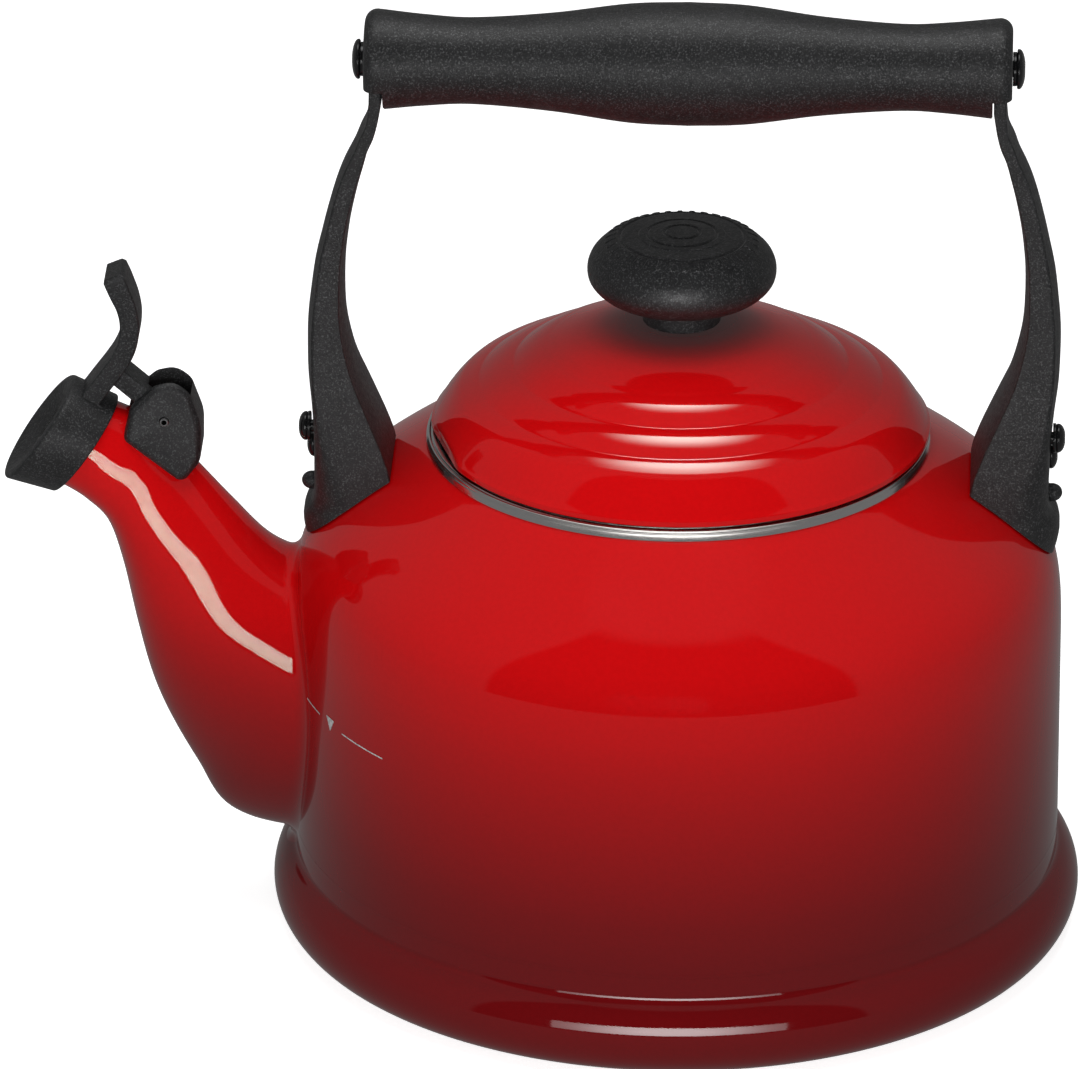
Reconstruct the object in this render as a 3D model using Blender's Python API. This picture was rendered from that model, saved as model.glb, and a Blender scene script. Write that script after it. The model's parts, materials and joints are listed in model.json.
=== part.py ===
"""Stovetop whistling kettle.

An enamelled steel kettle with a lift-off stepped lid, a rigid bail handle and a gooseneck spout whose
whistle cap swings open on a spring-loaded thumb lever.

Frame: +Z up, +X away from the spout, origin at the centre of the flat base.  Every dimension below is in
millimetres and is turned into metres when a mesh is made.
"""

import math

import bmesh
import bpy
import numpy as np
from mathutils import Matrix

MM = 0.001
GAP = 0.3  # clearance left between two pieces that touch on the real kettle
ROUND_STEPS = 48  # sides of every large turned piece

# Body
WALL_RADIUS = 92.7
SHEET = 1.2
WALL_BOTTOM = 20.6
WALL_TOP = 76.6
SHOULDER_TOP = (60.4, 124.2)
SHOULDER_SLOPE = math.radians(35.5)
SHOULDER_PULL_LOW = 26.4
SHOULDER_PULL_HIGH = 35.4
NECK_RADIUS = 59.7
NECK_TOP = 126.0

# Base pan
BASE_FLAT_RADIUS = 84.0
FLANGE_CENTRE = (88.3, 10.1)
FLANGE_SIZE = (9.7, 10.1)
FLANGE_TOP_ANGLE = 62.0
PAN_SHEET = 1.5

# Rim trim ring
RING_TOP = 127.0
RING_OUTER = 60.6
RING_INNER = 57.6
RING_SHEET = 0.6

# Lid
LID_RADIUS = 59.8
LID_EDGE = 127.4
LID_SHEET = 1.2
LID_TOP = 155.2
LID_HOLE = 3.0
LID_NOTCH_ANGLE = math.radians(196.0)
LID_NOTCH_CHORD = 58.3
LID_PROFILE = [
    (9.5, LID_TOP), (20.0, 153.2), (31.3, 149.1), (36.4, 147.8), (40.0, 144.7), (45.4, 143.3),
    (48.4, 140.4), (52.8, 138.8), (56.8, 134.2), (59.0, 130.9), (59.7, 129.3), (LID_RADIUS, 128.2),
    (59.4, LID_EDGE),
]
SKIRT_OUTER = 57.2
SKIRT_INNER = 56.4
SKIRT_BOTTOM = 117.5
SKIRT_TOP = 129.4

# Knob
KNOB_RADIUS = 22.6
KNOB_PROFILE = [
    (0.0, 178.4), (9.0, 178.2), (14.0, 177.5), (18.0, 175.8), (21.2, 173.0), (KNOB_RADIUS, 169.8),
    (21.9, 166.6), (19.2, 163.9), (15.0, 162.2), (9.4, 161.2), (9.2, 155.9),
]
KNOB_SCREW_RADIUS = 2.0

# Spout: centre x, centre z, half height, half width, tilt of the section in degrees, mouth to root
SPOUT_STATIONS = [
    (-145.8, 122.6, 11.6, 11.6, 34.0),
    (-141.2, 120.9, 12.0, 12.0, 34.0),
    (-134.5, 117.2, 12.4, 12.4, 41.0),
    (-127.3, 110.1, 12.6, 12.6, 54.0),
    (-120.4, 98.4, 15.4, 15.2, 62.0),
    (-113.9, 85.3, 19.6, 18.4, 60.0),
    (-105.9, 73.7, 25.9, 22.0, 51.0),
    (-96.1, 63.1, 32.3, 25.2, 40.0),
    (-87.5, 57.5, 38.1, 27.5, 33.0),
    (-77.0, 55.0, 35.6, 27.0, 18.0),
]
SPOUT_ROWS_PER_SPAN = 2
SPOUT_SIDES = 24

# Handle
GRIP_X = 2.0  # the grip and the feet sit a little to the right of the body's axis
FOOT_X = 0.9
FOOT_Z = 115.0
GRIP_AXIS_Z = 221.4
GRIP_HALF_LENGTH = 76.8
GRIP_RADII = [(0.0, 14.7), (14.0, 14.2), (32.0, 11.7), (50.5, 10.4), (62.0, 10.9), (74.0, 12.1)]
GRIP_END_ROUND = 2.8
TAB_SLOT = (72.0, 75.8)
TAB_HALF_WIDTH = 6.2
TAB_TOP = 227.0
GRIP_SKIRT_BOTTOM = 217.0
END_SCREW_RADIUS = 2.0

# Handle arms: height, inner face, outer face, half depth, inner crown, outer corner round
ARM_STATIONS = [
    (TAB_TOP, 72.4, 75.4, 6.2, 0.0, 0.6),
    (212.0, 72.5, 75.4, 6.2, 0.0, 0.6),
    (206.3, 73.5, 76.3, 6.3, 0.2, 0.8),
    (200.0, 75.7, 79.2, 6.5, 0.4, 1.0),
    (190.0, 78.7, 83.4, 6.8, 0.8, 1.4),
    (177.0, 81.4, 86.8, 7.6, 1.2, 1.8),
    (163.0, 82.2, 89.0, 9.0, 1.6, 2.2),
    (150.0, 80.8, 89.8, 10.4, 1.8, 2.6),
    (138.0, 77.0, 89.6, 12.2, 1.6, 3.2),
    (128.0, 72.8, 88.9, 13.4, 1.0, 4.5),
    (118.0, 69.5, 88.7, 14.2, 0.3, 7.0),
    (110.5, 68.6, 88.9, 14.4, 0.0, 9.0),
    (107.0, 68.2, 91.0, 14.4, 0.0, 11.0),
    (100.0, 68.0, 90.6, 14.4, 0.0, 12.5),
    (90.0, 68.0, 88.0, 14.0, 0.0, 12.5),
]
FOOT_POCKET = [(86.4, 92.0), (86.4, 134.0), (80.0, 134.0), (72.6, 119.0), (72.6, 92.0)]
FOOT_POCKET_HALF_WIDTH = 9.0
BRACKET = [(86.0, 105.6), (86.0, 132.5), (84.0, 132.5), (84.0, 110.0), (76.0, 117.0), (74.6, 115.3)]
BRACKET_HALF_WIDTH = 7.0
FOOT_FACE = 88.7
FOOT_SCREW_UPPER = (-2.5, 127.2)
FOOT_SCREW_LOWER = (2.6, 120.8)
FOOT_STUD = (0.0, 112.4)
FOOT_SCREW_HEAD = 3.5
FOOT_SCREW_SHANK = 1.6

# Whistle
PIVOT = (-123.1, 129.9)
CAP_REAR = (-142.6, 120.7)
CAP_FRONT = (-154.2, 125.1)
CAP_REAR_RADIUS = 13.9
CAP_FRONT_RADIUS = 14.9
CAP_TILT = 35.5
CAP_MOUTH_BORE = 12.9
WHISTLE_BORE = 6.9
DISC_RADIUS = 6.6
LEVER_PATH = [
    (-134.6, 164.2), (-133.1, 161.3), (-131.8, 157.7), (-131.2, 153.5), (-131.8, 148.8), (-133.4, 144.9),
    (-135.6, 141.3), (-138.6, 137.2), (-141.8, 132.9),
]
LEVER_THICKNESS = 4.7
LEVER_HALF_WIDTH = 5.5
BAR_START = (-134.2, 139.6)
BAR_WIDE_LENGTH = 7.0
BAR_HALF_WIDTH = 4.35
BAR_THICKNESS = 4.6
PIN_RADIUS = 1.05
PIN_BORE = 1.15
HUB_RADIUS = 3.2
HOUSING_OUTLINE = [
    (-133.0, 125.2), (-131.4, 132.4), (-125.2, 137.8), (-121.2, 138.9), (-117.6, 137.4), (-114.5, 128.0),
    (-114.4, 119.6), (-118.8, 114.2),
]
HOUSING_HALF_BOTTOM = 10.0
HOUSING_HALF_TOP = 6.3
SLOT_HALF_WIDTH = 4.7
SLOT_END_X = -116.7


# Materials: colour, roughness, metallic
FINISHES = {
    "red_enamel": ((0.50, 0.008, 0.012), 0.08, 0.0),
    "stainless": ((0.62, 0.61, 0.60), 0.22, 1.0),
    "black_phenolic": ((0.022, 0.022, 0.023), 0.55, 0.0),
    "black_screw": ((0.006, 0.006, 0.006), 0.15, 0.0),
    "zinc_steel": ((0.45, 0.45, 0.44), 0.35, 1.0),
    "brass": ((0.60, 0.42, 0.16), 0.30, 1.0),
}


def clear_scene():
    for obj in list(bpy.data.objects):
        bpy.data.objects.remove(obj, do_unlink=True)


def finish(name):
    """The material of one finish, made the first time it is asked for."""
    found = bpy.data.materials.get(name)
    if found:
        return found
    colour, roughness, metallic = FINISHES[name]
    made = bpy.data.materials.new(name)
    made.use_nodes = True
    shader = made.node_tree.nodes["Principled BSDF"]
    shader.inputs["Base Color"].default_value = (*colour, 1.0)
    shader.inputs["Roughness"].default_value = roughness
    shader.inputs["Metallic"].default_value = metallic
    return made


# Outlines


def bezier(start, pull_start, pull_end, end, count):
    t = np.linspace(0.0, 1.0, count)[:, None]
    a, b, c, d = (np.array(p, float) for p in (start, pull_start, pull_end, end))
    return (1 - t) ** 3 * a + 3 * (1 - t) ** 2 * t * b + 3 * (1 - t) * t**2 * c + t**3 * d


def smooth_rows(rows, per_span):
    """More rows on a Catmull-Rom curve through the given ones."""
    points = np.array(rows, float)
    padded = np.vstack([2 * points[0] - points[1], points, 2 * points[-1] - points[-2]])
    out = []
    for i in range(1, len(padded) - 2):
        before, here, there, after = padded[i - 1 : i + 3]
        for step in range(per_span):
            t = step / per_span
            out.append(
                0.5 * (2 * here + (there - before) * t)
                + 0.5 * (2 * before - 5 * here + 4 * there - after) * t**2
                + 0.5 * (3 * here - before - 3 * there + after) * t**3
            )
    out.append(points[-1])
    return np.array(out)


def arc(centre, size, start, end, count):
    """Points on an ellipse of the given half sizes, from start to end in degrees."""
    angles = np.radians(np.linspace(start, end, count))
    return [(centre[0] + size[0] * math.cos(a), centre[1] + size[1] * math.sin(a)) for a in angles]


def offset_outline(points, distance):
    """An open outline moved sideways by a distance, to the left of its direction of travel."""
    line = np.array(points, float)
    along = np.gradient(line, axis=0)
    along /= np.linalg.norm(along, axis=1)[:, None]
    return line + distance * np.stack([-along[:, 1], along[:, 0]], axis=1)


def shoulder_outline():
    """The body's outside from the neck down to its lower edge, as (radius, height)."""
    top = np.array(SHOULDER_TOP)
    pull_top = top + SHOULDER_PULL_HIGH * np.array([math.cos(SHOULDER_SLOPE), -math.sin(SHOULDER_SLOPE)])
    low = np.array([WALL_RADIUS, WALL_TOP])
    pull_low = low + np.array([0.0, SHOULDER_PULL_LOW])
    curve = bezier(top, pull_top, pull_low, low, 11)
    return np.vstack([curve, [(WALL_RADIUS, WALL_BOTTOM)]])


# Meshes


def make_object(name, bm, material, matrix=None, smooth_angle=35.0):
    bmesh.ops.recalc_face_normals(bm, faces=bm.faces)
    mesh = bpy.data.meshes.new(name)
    bm.to_mesh(mesh)
    bm.free()
    mesh.shade_smooth()
    mesh.set_sharp_from_angle(angle=math.radians(smooth_angle))
    obj = bpy.data.objects.new(name, mesh)
    bpy.context.scene.collection.objects.link(obj)
    if matrix is not None:
        obj.matrix_world = matrix
    if material:
        mesh.materials.append(finish(material))
    return obj


def turned(name, profile, steps, material, matrix=None, closed=False):
    """A solid of revolution about local Z from (radius, height) points, outer side top to bottom."""
    bm = bmesh.new()
    verts = [bm.verts.new((r * MM, 0.0, z * MM)) for r, z in profile]
    edges = [bm.edges.new(pair) for pair in zip(verts, verts[1:])]
    if closed:
        edges.append(bm.edges.new((verts[-1], verts[0])))
    bmesh.ops.spin(
        bm, geom=verts + edges, cent=(0, 0, 0), axis=(0, 0, 1), angle=2 * math.pi, steps=steps
    )
    bmesh.ops.remove_doubles(bm, verts=bm.verts, dist=1e-6)
    return make_object(name, bm, material, matrix)


def lofted(name, rings, material):
    """A closed solid through rings of equal point count, capped at both ends.  Rings are in millimetres."""
    bm = bmesh.new()
    rows = [[bm.verts.new([c * MM for c in point]) for point in ring] for ring in rings]
    for upper, lower in zip(rows, rows[1:]):
        for i in range(len(upper)):
            j = (i + 1) % len(upper)
            bm.faces.new((upper[i], upper[j], lower[j], lower[i]))
    bm.faces.new(rows[0])
    bm.faces.new(rows[-1])
    return make_object(name, bm, material)


def extruded(name, outline, y_low, y_high, material):
    """A plate from an (x, z) outline, between two depths along Y."""
    rings = [[(x, y, z) for x, z in outline] for y in (y_low, y_high)]
    return lofted(name, rings, material)


def axis_matrix(point, direction):
    """Puts local Z along +X, -X or +Y at a point in millimetres."""
    turns = {
        "+X": Matrix.Rotation(math.pi / 2, 4, "Y"),
        "-X": Matrix.Rotation(-math.pi / 2, 4, "Y"),
        "+Y": Matrix.Rotation(-math.pi / 2, 4, "X"),
    }
    return Matrix.Translation([c * MM for c in point]) @ turns[direction]


def rod(name, radius, low, high, steps, material, matrix=None):
    return turned(name, [(0, high), (radius, high), (radius, low), (0, low)], steps, material, matrix)


def combine(obj, other, operation):
    modifier = obj.modifiers.new(other.name, "BOOLEAN")
    modifier.operation = operation
    modifier.object = other
    other.hide_render = True
    other.display_type = "WIRE"


def cut(obj, *cutters):
    for cutter in cutters:
        combine(obj, cutter, "DIFFERENCE")


def bevel(obj, width, segments=2, angle=40.0):
    modifier = obj.modifiers.new("edge_round", "BEVEL")
    modifier.width = width * MM
    modifier.segments = segments
    modifier.limit_method = "ANGLE"
    modifier.angle_limit = math.radians(angle)


# Vessel


def body_envelope(gap):
    """A cutter: the filled body grown by a gap."""
    outline = offset_outline(shoulder_outline(), gap)
    profile = [(0, NECK_TOP + 4), (NECK_RADIUS - 4, NECK_TOP + 4), *outline, (0, WALL_BOTTOM)]
    return turned("body_envelope", profile, ROUND_STEPS, None)


def section(centre, half_height, half_width, tilt, count):
    """A ring of an elliptical tube in the XZ plane, tilted by an angle in degrees."""
    t = math.radians(tilt)
    ring = []
    for i in range(count):
        a = 2 * math.pi * i / count
        rise = half_height * math.cos(a)
        x, z = centre[0] + rise * math.sin(t), centre[1] + rise * math.cos(t)
        ring.append((x, half_width * math.sin(a), z))
    return ring


def spout_rings(growth, count, beyond_mouth=0.0):
    """Sections along the spout, grown outwards (or shrunk if negative)."""
    rows = smooth_rows(SPOUT_STATIONS, SPOUT_ROWS_PER_SPAN)
    rings = [section(row[:2], row[2] + growth, row[3] + growth, row[4], count) for row in rows]
    if beyond_mouth:
        step = (rows[0][:2] - rows[1][:2]) / np.linalg.norm(rows[0][:2] - rows[1][:2])
        centre = rows[0][:2] + step * beyond_mouth
        rings.insert(0, section(centre, rows[0][2] + growth, rows[0][3] + growth, rows[0][4], count))
    return rings


def make_body(spout_passage):
    outside = shoulder_outline()
    inside = offset_outline(outside, -SHEET)
    neck_inner = NECK_RADIUS - SHEET
    profile = [(NECK_RADIUS, NECK_TOP), (NECK_RADIUS, SHOULDER_TOP[1] + 0.5), *outside]
    profile += [inside[-1], *inside[-2::-2], (neck_inner, SHOULDER_TOP[1] - 0.4), (neck_inner, NECK_TOP)]
    body = turned("body_shell", profile, ROUND_STEPS, "red_enamel", closed=True)
    cut(body, spout_passage)


def make_base_pan():
    outside = arc(FLANGE_CENTRE, FLANGE_SIZE, FLANGE_TOP_ANGLE, -90.0, 10)
    inner_size = [half - PAN_SHEET for half in FLANGE_SIZE]
    inside = arc(FLANGE_CENTRE, inner_size, -90.0, FLANGE_TOP_ANGLE, 7)
    top = WALL_BOTTOM - GAP
    lip_inner = WALL_RADIUS - SHEET
    profile = [(WALL_RADIUS + 0.2, top), *outside, (BASE_FLAT_RADIUS, 0.0), (0, 0.0)]
    profile += [(0, PAN_SHEET), (BASE_FLAT_RADIUS, PAN_SHEET), *inside, (lip_inner, top)]
    turned("base_pan", profile, ROUND_STEPS, "red_enamel", closed=True)


def make_rim_ring():
    outer, inner, sheet = RING_OUTER, RING_INNER, RING_SHEET
    low_outer = SHOULDER_TOP[1] + 0.4
    profile = [
        (outer - 0.3, RING_TOP), (outer, RING_TOP - 0.4), (outer, low_outer), (outer - sheet, low_outer),
        (outer - sheet, RING_TOP - 0.7), (inner + sheet, RING_TOP - 0.7), (inner + sheet, 121.5),
        (inner, 121.5), (inner, RING_TOP - 0.3), (inner + 0.3, RING_TOP),
    ]
    turned("rim_ring", profile, ROUND_STEPS, "stainless", closed=True)


def make_spout(envelope):
    spout = lofted("spout", spout_rings(0.0, SPOUT_SIDES), "red_enamel")
    hollow = lofted("spout_hollow", spout_rings(-SHEET, SPOUT_SIDES, beyond_mouth=4.0), None)
    cut(spout, hollow, envelope)


# Lid


def make_lid():
    outside = [(LID_HOLE, LID_TOP), *LID_PROFILE]
    inner_rows = offset_outline(LID_PROFILE[:-3:3], -LID_SHEET - 0.3)
    inside = [(LID_RADIUS - 1.4, LID_EDGE), (LID_RADIUS - 1.5, 129.4), *inner_rows[::-1]]
    inside.append((LID_HOLE, LID_TOP - LID_SHEET))
    lid = turned("lid_shell", [*outside, *inside], ROUND_STEPS, "red_enamel", closed=True)
    half, depth, top = 30.0, 12.0, LID_EDGE + 12.0
    corners = [(0, -half), (depth, -half), (depth, half), (0, half)]
    rings = []
    for z in (LID_EDGE - 5.0, top):
        ring = []
        lean = LID_NOTCH_CHORD - (z - LID_EDGE) * 0.1
        for along, across in corners:
            r = lean + along
            x = r * math.cos(LID_NOTCH_ANGLE) - across * math.sin(LID_NOTCH_ANGLE)
            y = r * math.sin(LID_NOTCH_ANGLE) + across * math.cos(LID_NOTCH_ANGLE)
            ring.append((x, y, z))
        rings.append(ring)
    cut(lid, lofted("lid_notch", rings, None))
    skirt = [
        (SKIRT_OUTER, SKIRT_TOP), (SKIRT_OUTER, SKIRT_BOTTOM), (SKIRT_INNER, SKIRT_BOTTOM),
        (SKIRT_INNER, SKIRT_TOP),
    ]
    turned("lid_skirt", skirt, ROUND_STEPS, "stainless", closed=True)


def make_knob():
    bore = KNOB_SCREW_RADIUS + 0.3
    foot = KNOB_PROFILE[-1][1]
    profile = [*KNOB_PROFILE, (bore, foot), (bore, 170.0), (0, 170.0)]
    turned("knob", profile, 32, "black_phenolic")
    under = LID_TOP - LID_SHEET - GAP
    washer = [(7.0, under), (7.0, under - 1.0), (bore, under - 1.0), (bore, under)]
    turned("knob_washer", washer, 24, "zinc_steel", closed=True)
    head_top = under - 1.0 - GAP
    screw = [
        (0, 168.0), (KNOB_SCREW_RADIUS, 168.0), (KNOB_SCREW_RADIUS, head_top), (4.3, head_top),
        (4.3, head_top - 1.4), (2.6, head_top - 2.6), (0, head_top - 2.8),
    ]
    turned("knob_screw", screw, 20, "zinc_steel")


# Handle


def domed_screw(name, head_radius, head_height, shank_radius, shank_length, matrix):
    """A button-head screw: the head's seat is at local z = 0 and the shank runs to negative z."""
    dome = [(head_radius * math.cos(a), head_height * math.sin(a)) for a in np.radians([75, 50, 25, 0])]
    shank = [(shank_radius, 0), (shank_radius, -shank_length), (0, -shank_length)]
    turned(name, [(0, head_height), *dome, *shank], 16, "black_screw", matrix)


def flat_washer(name, radius, bore, low, high, matrix, material="black_screw"):
    profile = [(radius, high), (radius, low), (bore, low), (bore, high)]
    turned(name, profile, 20, material, matrix, closed=True)


def arm_section(row, side):
    """One level section of an arm: crowned inner and outer faces joined by flat front and back faces."""
    height, inner, outer, half_depth, crown, corner = row
    across = np.linspace(-1.0, 1.0, 7)
    points = []
    for t in across:
        points.append((inner - crown * (1 - t * t), half_depth * t))
    corner = min(corner, half_depth - 0.2)
    flat = half_depth - corner
    reach = min(corner, outer - inner - 0.8)
    for angle in np.radians(np.linspace(90.0, 0.0, 5)):
        points.append((outer - reach * (1 - math.cos(angle)), flat + corner * math.sin(angle)))
    for angle in np.radians(np.linspace(0.0, -90.0, 5)):
        points.append((outer - reach * (1 - math.cos(angle)), -flat + corner * math.sin(angle)))
    centre = handle_centre(height)
    return [(centre + side * u, y, height) for u, y in points]


def handle_centre(height):
    """The handle's middle plane leans from the feet to the grip."""
    share = (height - FOOT_Z) / (GRIP_AXIS_Z - FOOT_Z)
    return FOOT_X + (GRIP_X - FOOT_X) * min(max(share, 0.0), 1.0)


def sided(outline, side, centre):
    return [(centre + side * u, z) for u, z in outline]


def rectangle(across, up):
    """An outline from a pair of positions across and a pair of heights."""
    return [(across[0], up[0]), (across[1], up[0]), (across[1], up[1]), (across[0], up[1])]


def make_grip():
    radii = smooth_rows(GRIP_RADII, 1)
    end = GRIP_HALF_LENGTH
    corner_centre = (end - GRIP_END_ROUND, GRIP_RADII[-1][1] - GRIP_END_ROUND)
    corner = arc(corner_centre, (GRIP_END_ROUND, GRIP_END_ROUND), 90, 0, 4)
    half = [(r, u) for u, r in [*radii[:-1], *corner]]
    top_down = [(0, end), *half[::-1]]
    bottom_up = [(r, -u) for r, u in half[1:]]
    profile = [*top_down, *bottom_up, (0, -end)]
    along_grip = axis_matrix((GRIP_X, 0, GRIP_AXIS_Z), "+X")
    grip = turned("handle_grip", profile, 28, "black_phenolic", along_grip)
    for side, label in ((-1, "left"), (1, "right")):
        direction = "+X" if side > 0 else "-X"
        slot_half = TAB_HALF_WIDTH + GAP
        slot = rectangle(TAB_SLOT, (200.0, TAB_TOP + GAP))
        notch = rectangle((TAB_SLOT[0], end + 5), (200.0, GRIP_SKIRT_BOTTOM))
        cut(
            grip,
            extruded(f"tab_slot_{label}", sided(slot, side, GRIP_X), -slot_half, slot_half, None),
            extruded(f"tab_notch_{label}", sided(notch, side, GRIP_X), -20.0, 20.0, None),
        )
        seat = axis_matrix((GRIP_X + side * end, 0, GRIP_AXIS_Z), direction)
        cut(
            grip,
            rod(f"screw_hole_{label}", END_SCREW_RADIUS + 0.4, -20.0, 4.0, 20, None, seat),
            rod(f"insert_hole_{label}", 3.6, -18.0, -4.0, 20, None, seat),
        )
        bore = END_SCREW_RADIUS + 0.3
        insert = [(3.3, -5.2), (3.3, -17.0), (bore, -17.0), (bore, -5.2)]
        turned(f"grip_insert_{label}", insert, 20, "brass", seat, closed=True)
        flat_washer(f"grip_washer_{label}", 4.0, bore, GAP, 1.3, seat)
        head_seat = axis_matrix((GRIP_X + side * (end + 1.3 + GAP), 0, GRIP_AXIS_Z), direction)
        domed_screw(f"grip_screw_{label}", 4.8, 2.0, END_SCREW_RADIUS, 17.5, head_seat)


def make_arm(side, label, envelope):
    direction = "+X" if side > 0 else "-X"
    arm = lofted(f"arm_{label}", [arm_section(row, side) for row in ARM_STATIONS], "black_phenolic")
    outline, half = sided(FOOT_POCKET, side, FOOT_X), FOOT_POCKET_HALF_WIDTH
    pocket = extruded(f"foot_pocket_{label}", outline, -half, half, None)
    face = FOOT_X + side * FOOT_FACE
    places = (FOOT_SCREW_UPPER, FOOT_SCREW_LOWER, FOOT_STUD)
    seats = [axis_matrix((face, y, z), direction) for y, z in places]
    spot_radii = [4.5, 4.1, 2.6]
    cut(arm, pocket, envelope)
    outline, half = sided(BRACKET, side, FOOT_X), BRACKET_HALF_WIDTH
    bracket = extruded(f"bracket_{label}", outline, -half, half, "zinc_steel")
    bore = FOOT_SCREW_SHANK + 0.3
    for number, (seat, spot) in enumerate(zip(seats, spot_radii)):
        cut(arm, rod(f"spot_face_{label}_{number}", spot, -0.6, 6.0, 20, None, seat))
        cut(arm, rod(f"arm_hole_{label}_{number}", bore, -6.0, 2.0, 16, None, seat))
        cut(bracket, rod(f"bracket_hole_{label}_{number}", bore, -8.0, 2.0, 16, None, seat))
    tab_hole = axis_matrix((GRIP_X + side * TAB_SLOT[0], 0, GRIP_AXIS_Z), direction)
    cut(arm, rod(f"tab_hole_{label}", END_SCREW_RADIUS + 0.4, -3.0, 8.0, 16, None, tab_hole))
    low = -0.6 + GAP
    flat_washer(f"foot_washer_{label}", 3.6, bore, low, low + 0.9, seats[0])
    lift = axis_matrix((face + side * (low + 1.2), FOOT_SCREW_UPPER[0], FOOT_SCREW_UPPER[1]), direction)
    domed_screw(f"foot_screw_upper_{label}", FOOT_SCREW_HEAD, 2.2, FOOT_SCREW_SHANK, 6.5, lift)
    lift = axis_matrix((face + side * low, FOOT_SCREW_LOWER[0], FOOT_SCREW_LOWER[1]), direction)
    domed_screw(f"foot_screw_lower_{label}", FOOT_SCREW_HEAD, 2.0, FOOT_SCREW_SHANK, 5.6, lift)
    stud = [
        (0, 2.7), (1.2, 2.6), (2.0, 1.9), (2.2, 1.0), (2.2, low), (FOOT_SCREW_SHANK - 0.1, low),
        (FOOT_SCREW_SHANK - 0.1, -4.6), (0, -4.6),
    ]
    turned(f"foot_stud_{label}", stud, 16, "black_phenolic", seats[2])


# Whistle


def cap_ring(distance, radius, count=40):
    """A ring of the cap, a distance in millimetres forward of its rear edge along its slanted axis."""
    rear, front = np.array(CAP_REAR), np.array(CAP_FRONT)
    centre = rear + (front - rear) * distance / np.linalg.norm(front - rear)
    return section(centre, radius, radius, CAP_TILT, count)


def cap_length():
    return float(np.linalg.norm(np.array(CAP_FRONT) - np.array(CAP_REAR)))


def make_cap():
    length = cap_length()
    slope = (CAP_FRONT_RADIUS - CAP_REAR_RADIUS) / length
    rings = [(0.0, CAP_REAR_RADIUS - 0.5), (0.5, CAP_REAR_RADIUS)]
    rings += [(length - 1.0, CAP_FRONT_RADIUS - slope), (length, CAP_FRONT_RADIUS - 0.9)]
    cap = lofted("whistle_cap", [cap_ring(*ring) for ring in rings], "black_phenolic")
    mouth = lofted("cap_mouth", [cap_ring(-3.0, CAP_MOUTH_BORE), cap_ring(4.8, CAP_MOUTH_BORE - 0.3)], None)
    bore_rings = [cap_ring(4.0, WHISTLE_BORE, 24), cap_ring(length + 2, WHISTLE_BORE, 24)]
    bore = lofted("cap_bore", bore_rings, None)
    dish = lofted("cap_dish", [cap_ring(9.6, 7.6), cap_ring(length + 0.5, 12.9)], None)
    cut(cap, mouth, bore, dish)
    for label, start in (("inner", 5.2), ("outer", 8.8)):
        disc = lofted(
            f"whistle_disc_{label}",
            [cap_ring(start, DISC_RADIUS, 24), cap_ring(start + 0.5, DISC_RADIUS, 24)],
            "stainless",
        )
        hole_rings = [cap_ring(start - 2, 1.3, 12), cap_ring(start + 2, 1.3, 12)]
        cut(disc, lofted(f"disc_hole_{label}", hole_rings, None))
    envelope = [cap_ring(-2, CAP_REAR_RADIUS + GAP), cap_ring(length + 2, CAP_FRONT_RADIUS + GAP)]
    return lofted("cap_envelope", envelope, None)


def strap_outline(path, thickness):
    middle = smooth_rows(path, 2)
    return [*offset_outline(middle, thickness / 2), *offset_outline(middle, -thickness / 2)[::-1]]


def make_lever(cap_envelope):
    """The thumb lever, with a crossbar that narrows to a one-sided hub on the pin."""
    lever = extruded(
        "whistle_lever", strap_outline(LEVER_PATH, LEVER_THICKNESS), -LEVER_HALF_WIDTH, LEVER_HALF_WIDTH,
        "black_phenolic",
    )
    join, pivot = np.array(BAR_START), np.array(PIVOT)
    along = (pivot - join) / np.linalg.norm(pivot - join)
    bearing = math.degrees(math.atan2(along[1], along[0]))
    side = np.array((-along[1], along[0])) * BAR_THICKNESS / 2
    shoulder = join + along * BAR_WIDE_LENGTH
    wide = [join + side, join - side, shoulder - side, shoulder + side]
    start = join + along * 3.0
    hub = arc(PIVOT, (HUB_RADIUS, HUB_RADIUS), bearing - 130.0, bearing + 130.0, 15)
    narrow = [start - side * 0.9, *hub, start + side * 0.9]
    hub_matrix = axis_matrix((PIVOT[0], 0, PIVOT[1]), "+Y")
    combine(lever, extruded("bar_wide", wide, -BAR_HALF_WIDTH, BAR_HALF_WIDTH, None), "UNION")
    combine(lever, extruded("bar_hub", narrow, -BAR_HALF_WIDTH + 0.1, -0.2, None), "UNION")
    cut(lever, rod("hub_hole", PIN_BORE, -12.0, 12.0, 24, None, hub_matrix), cap_envelope)


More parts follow.
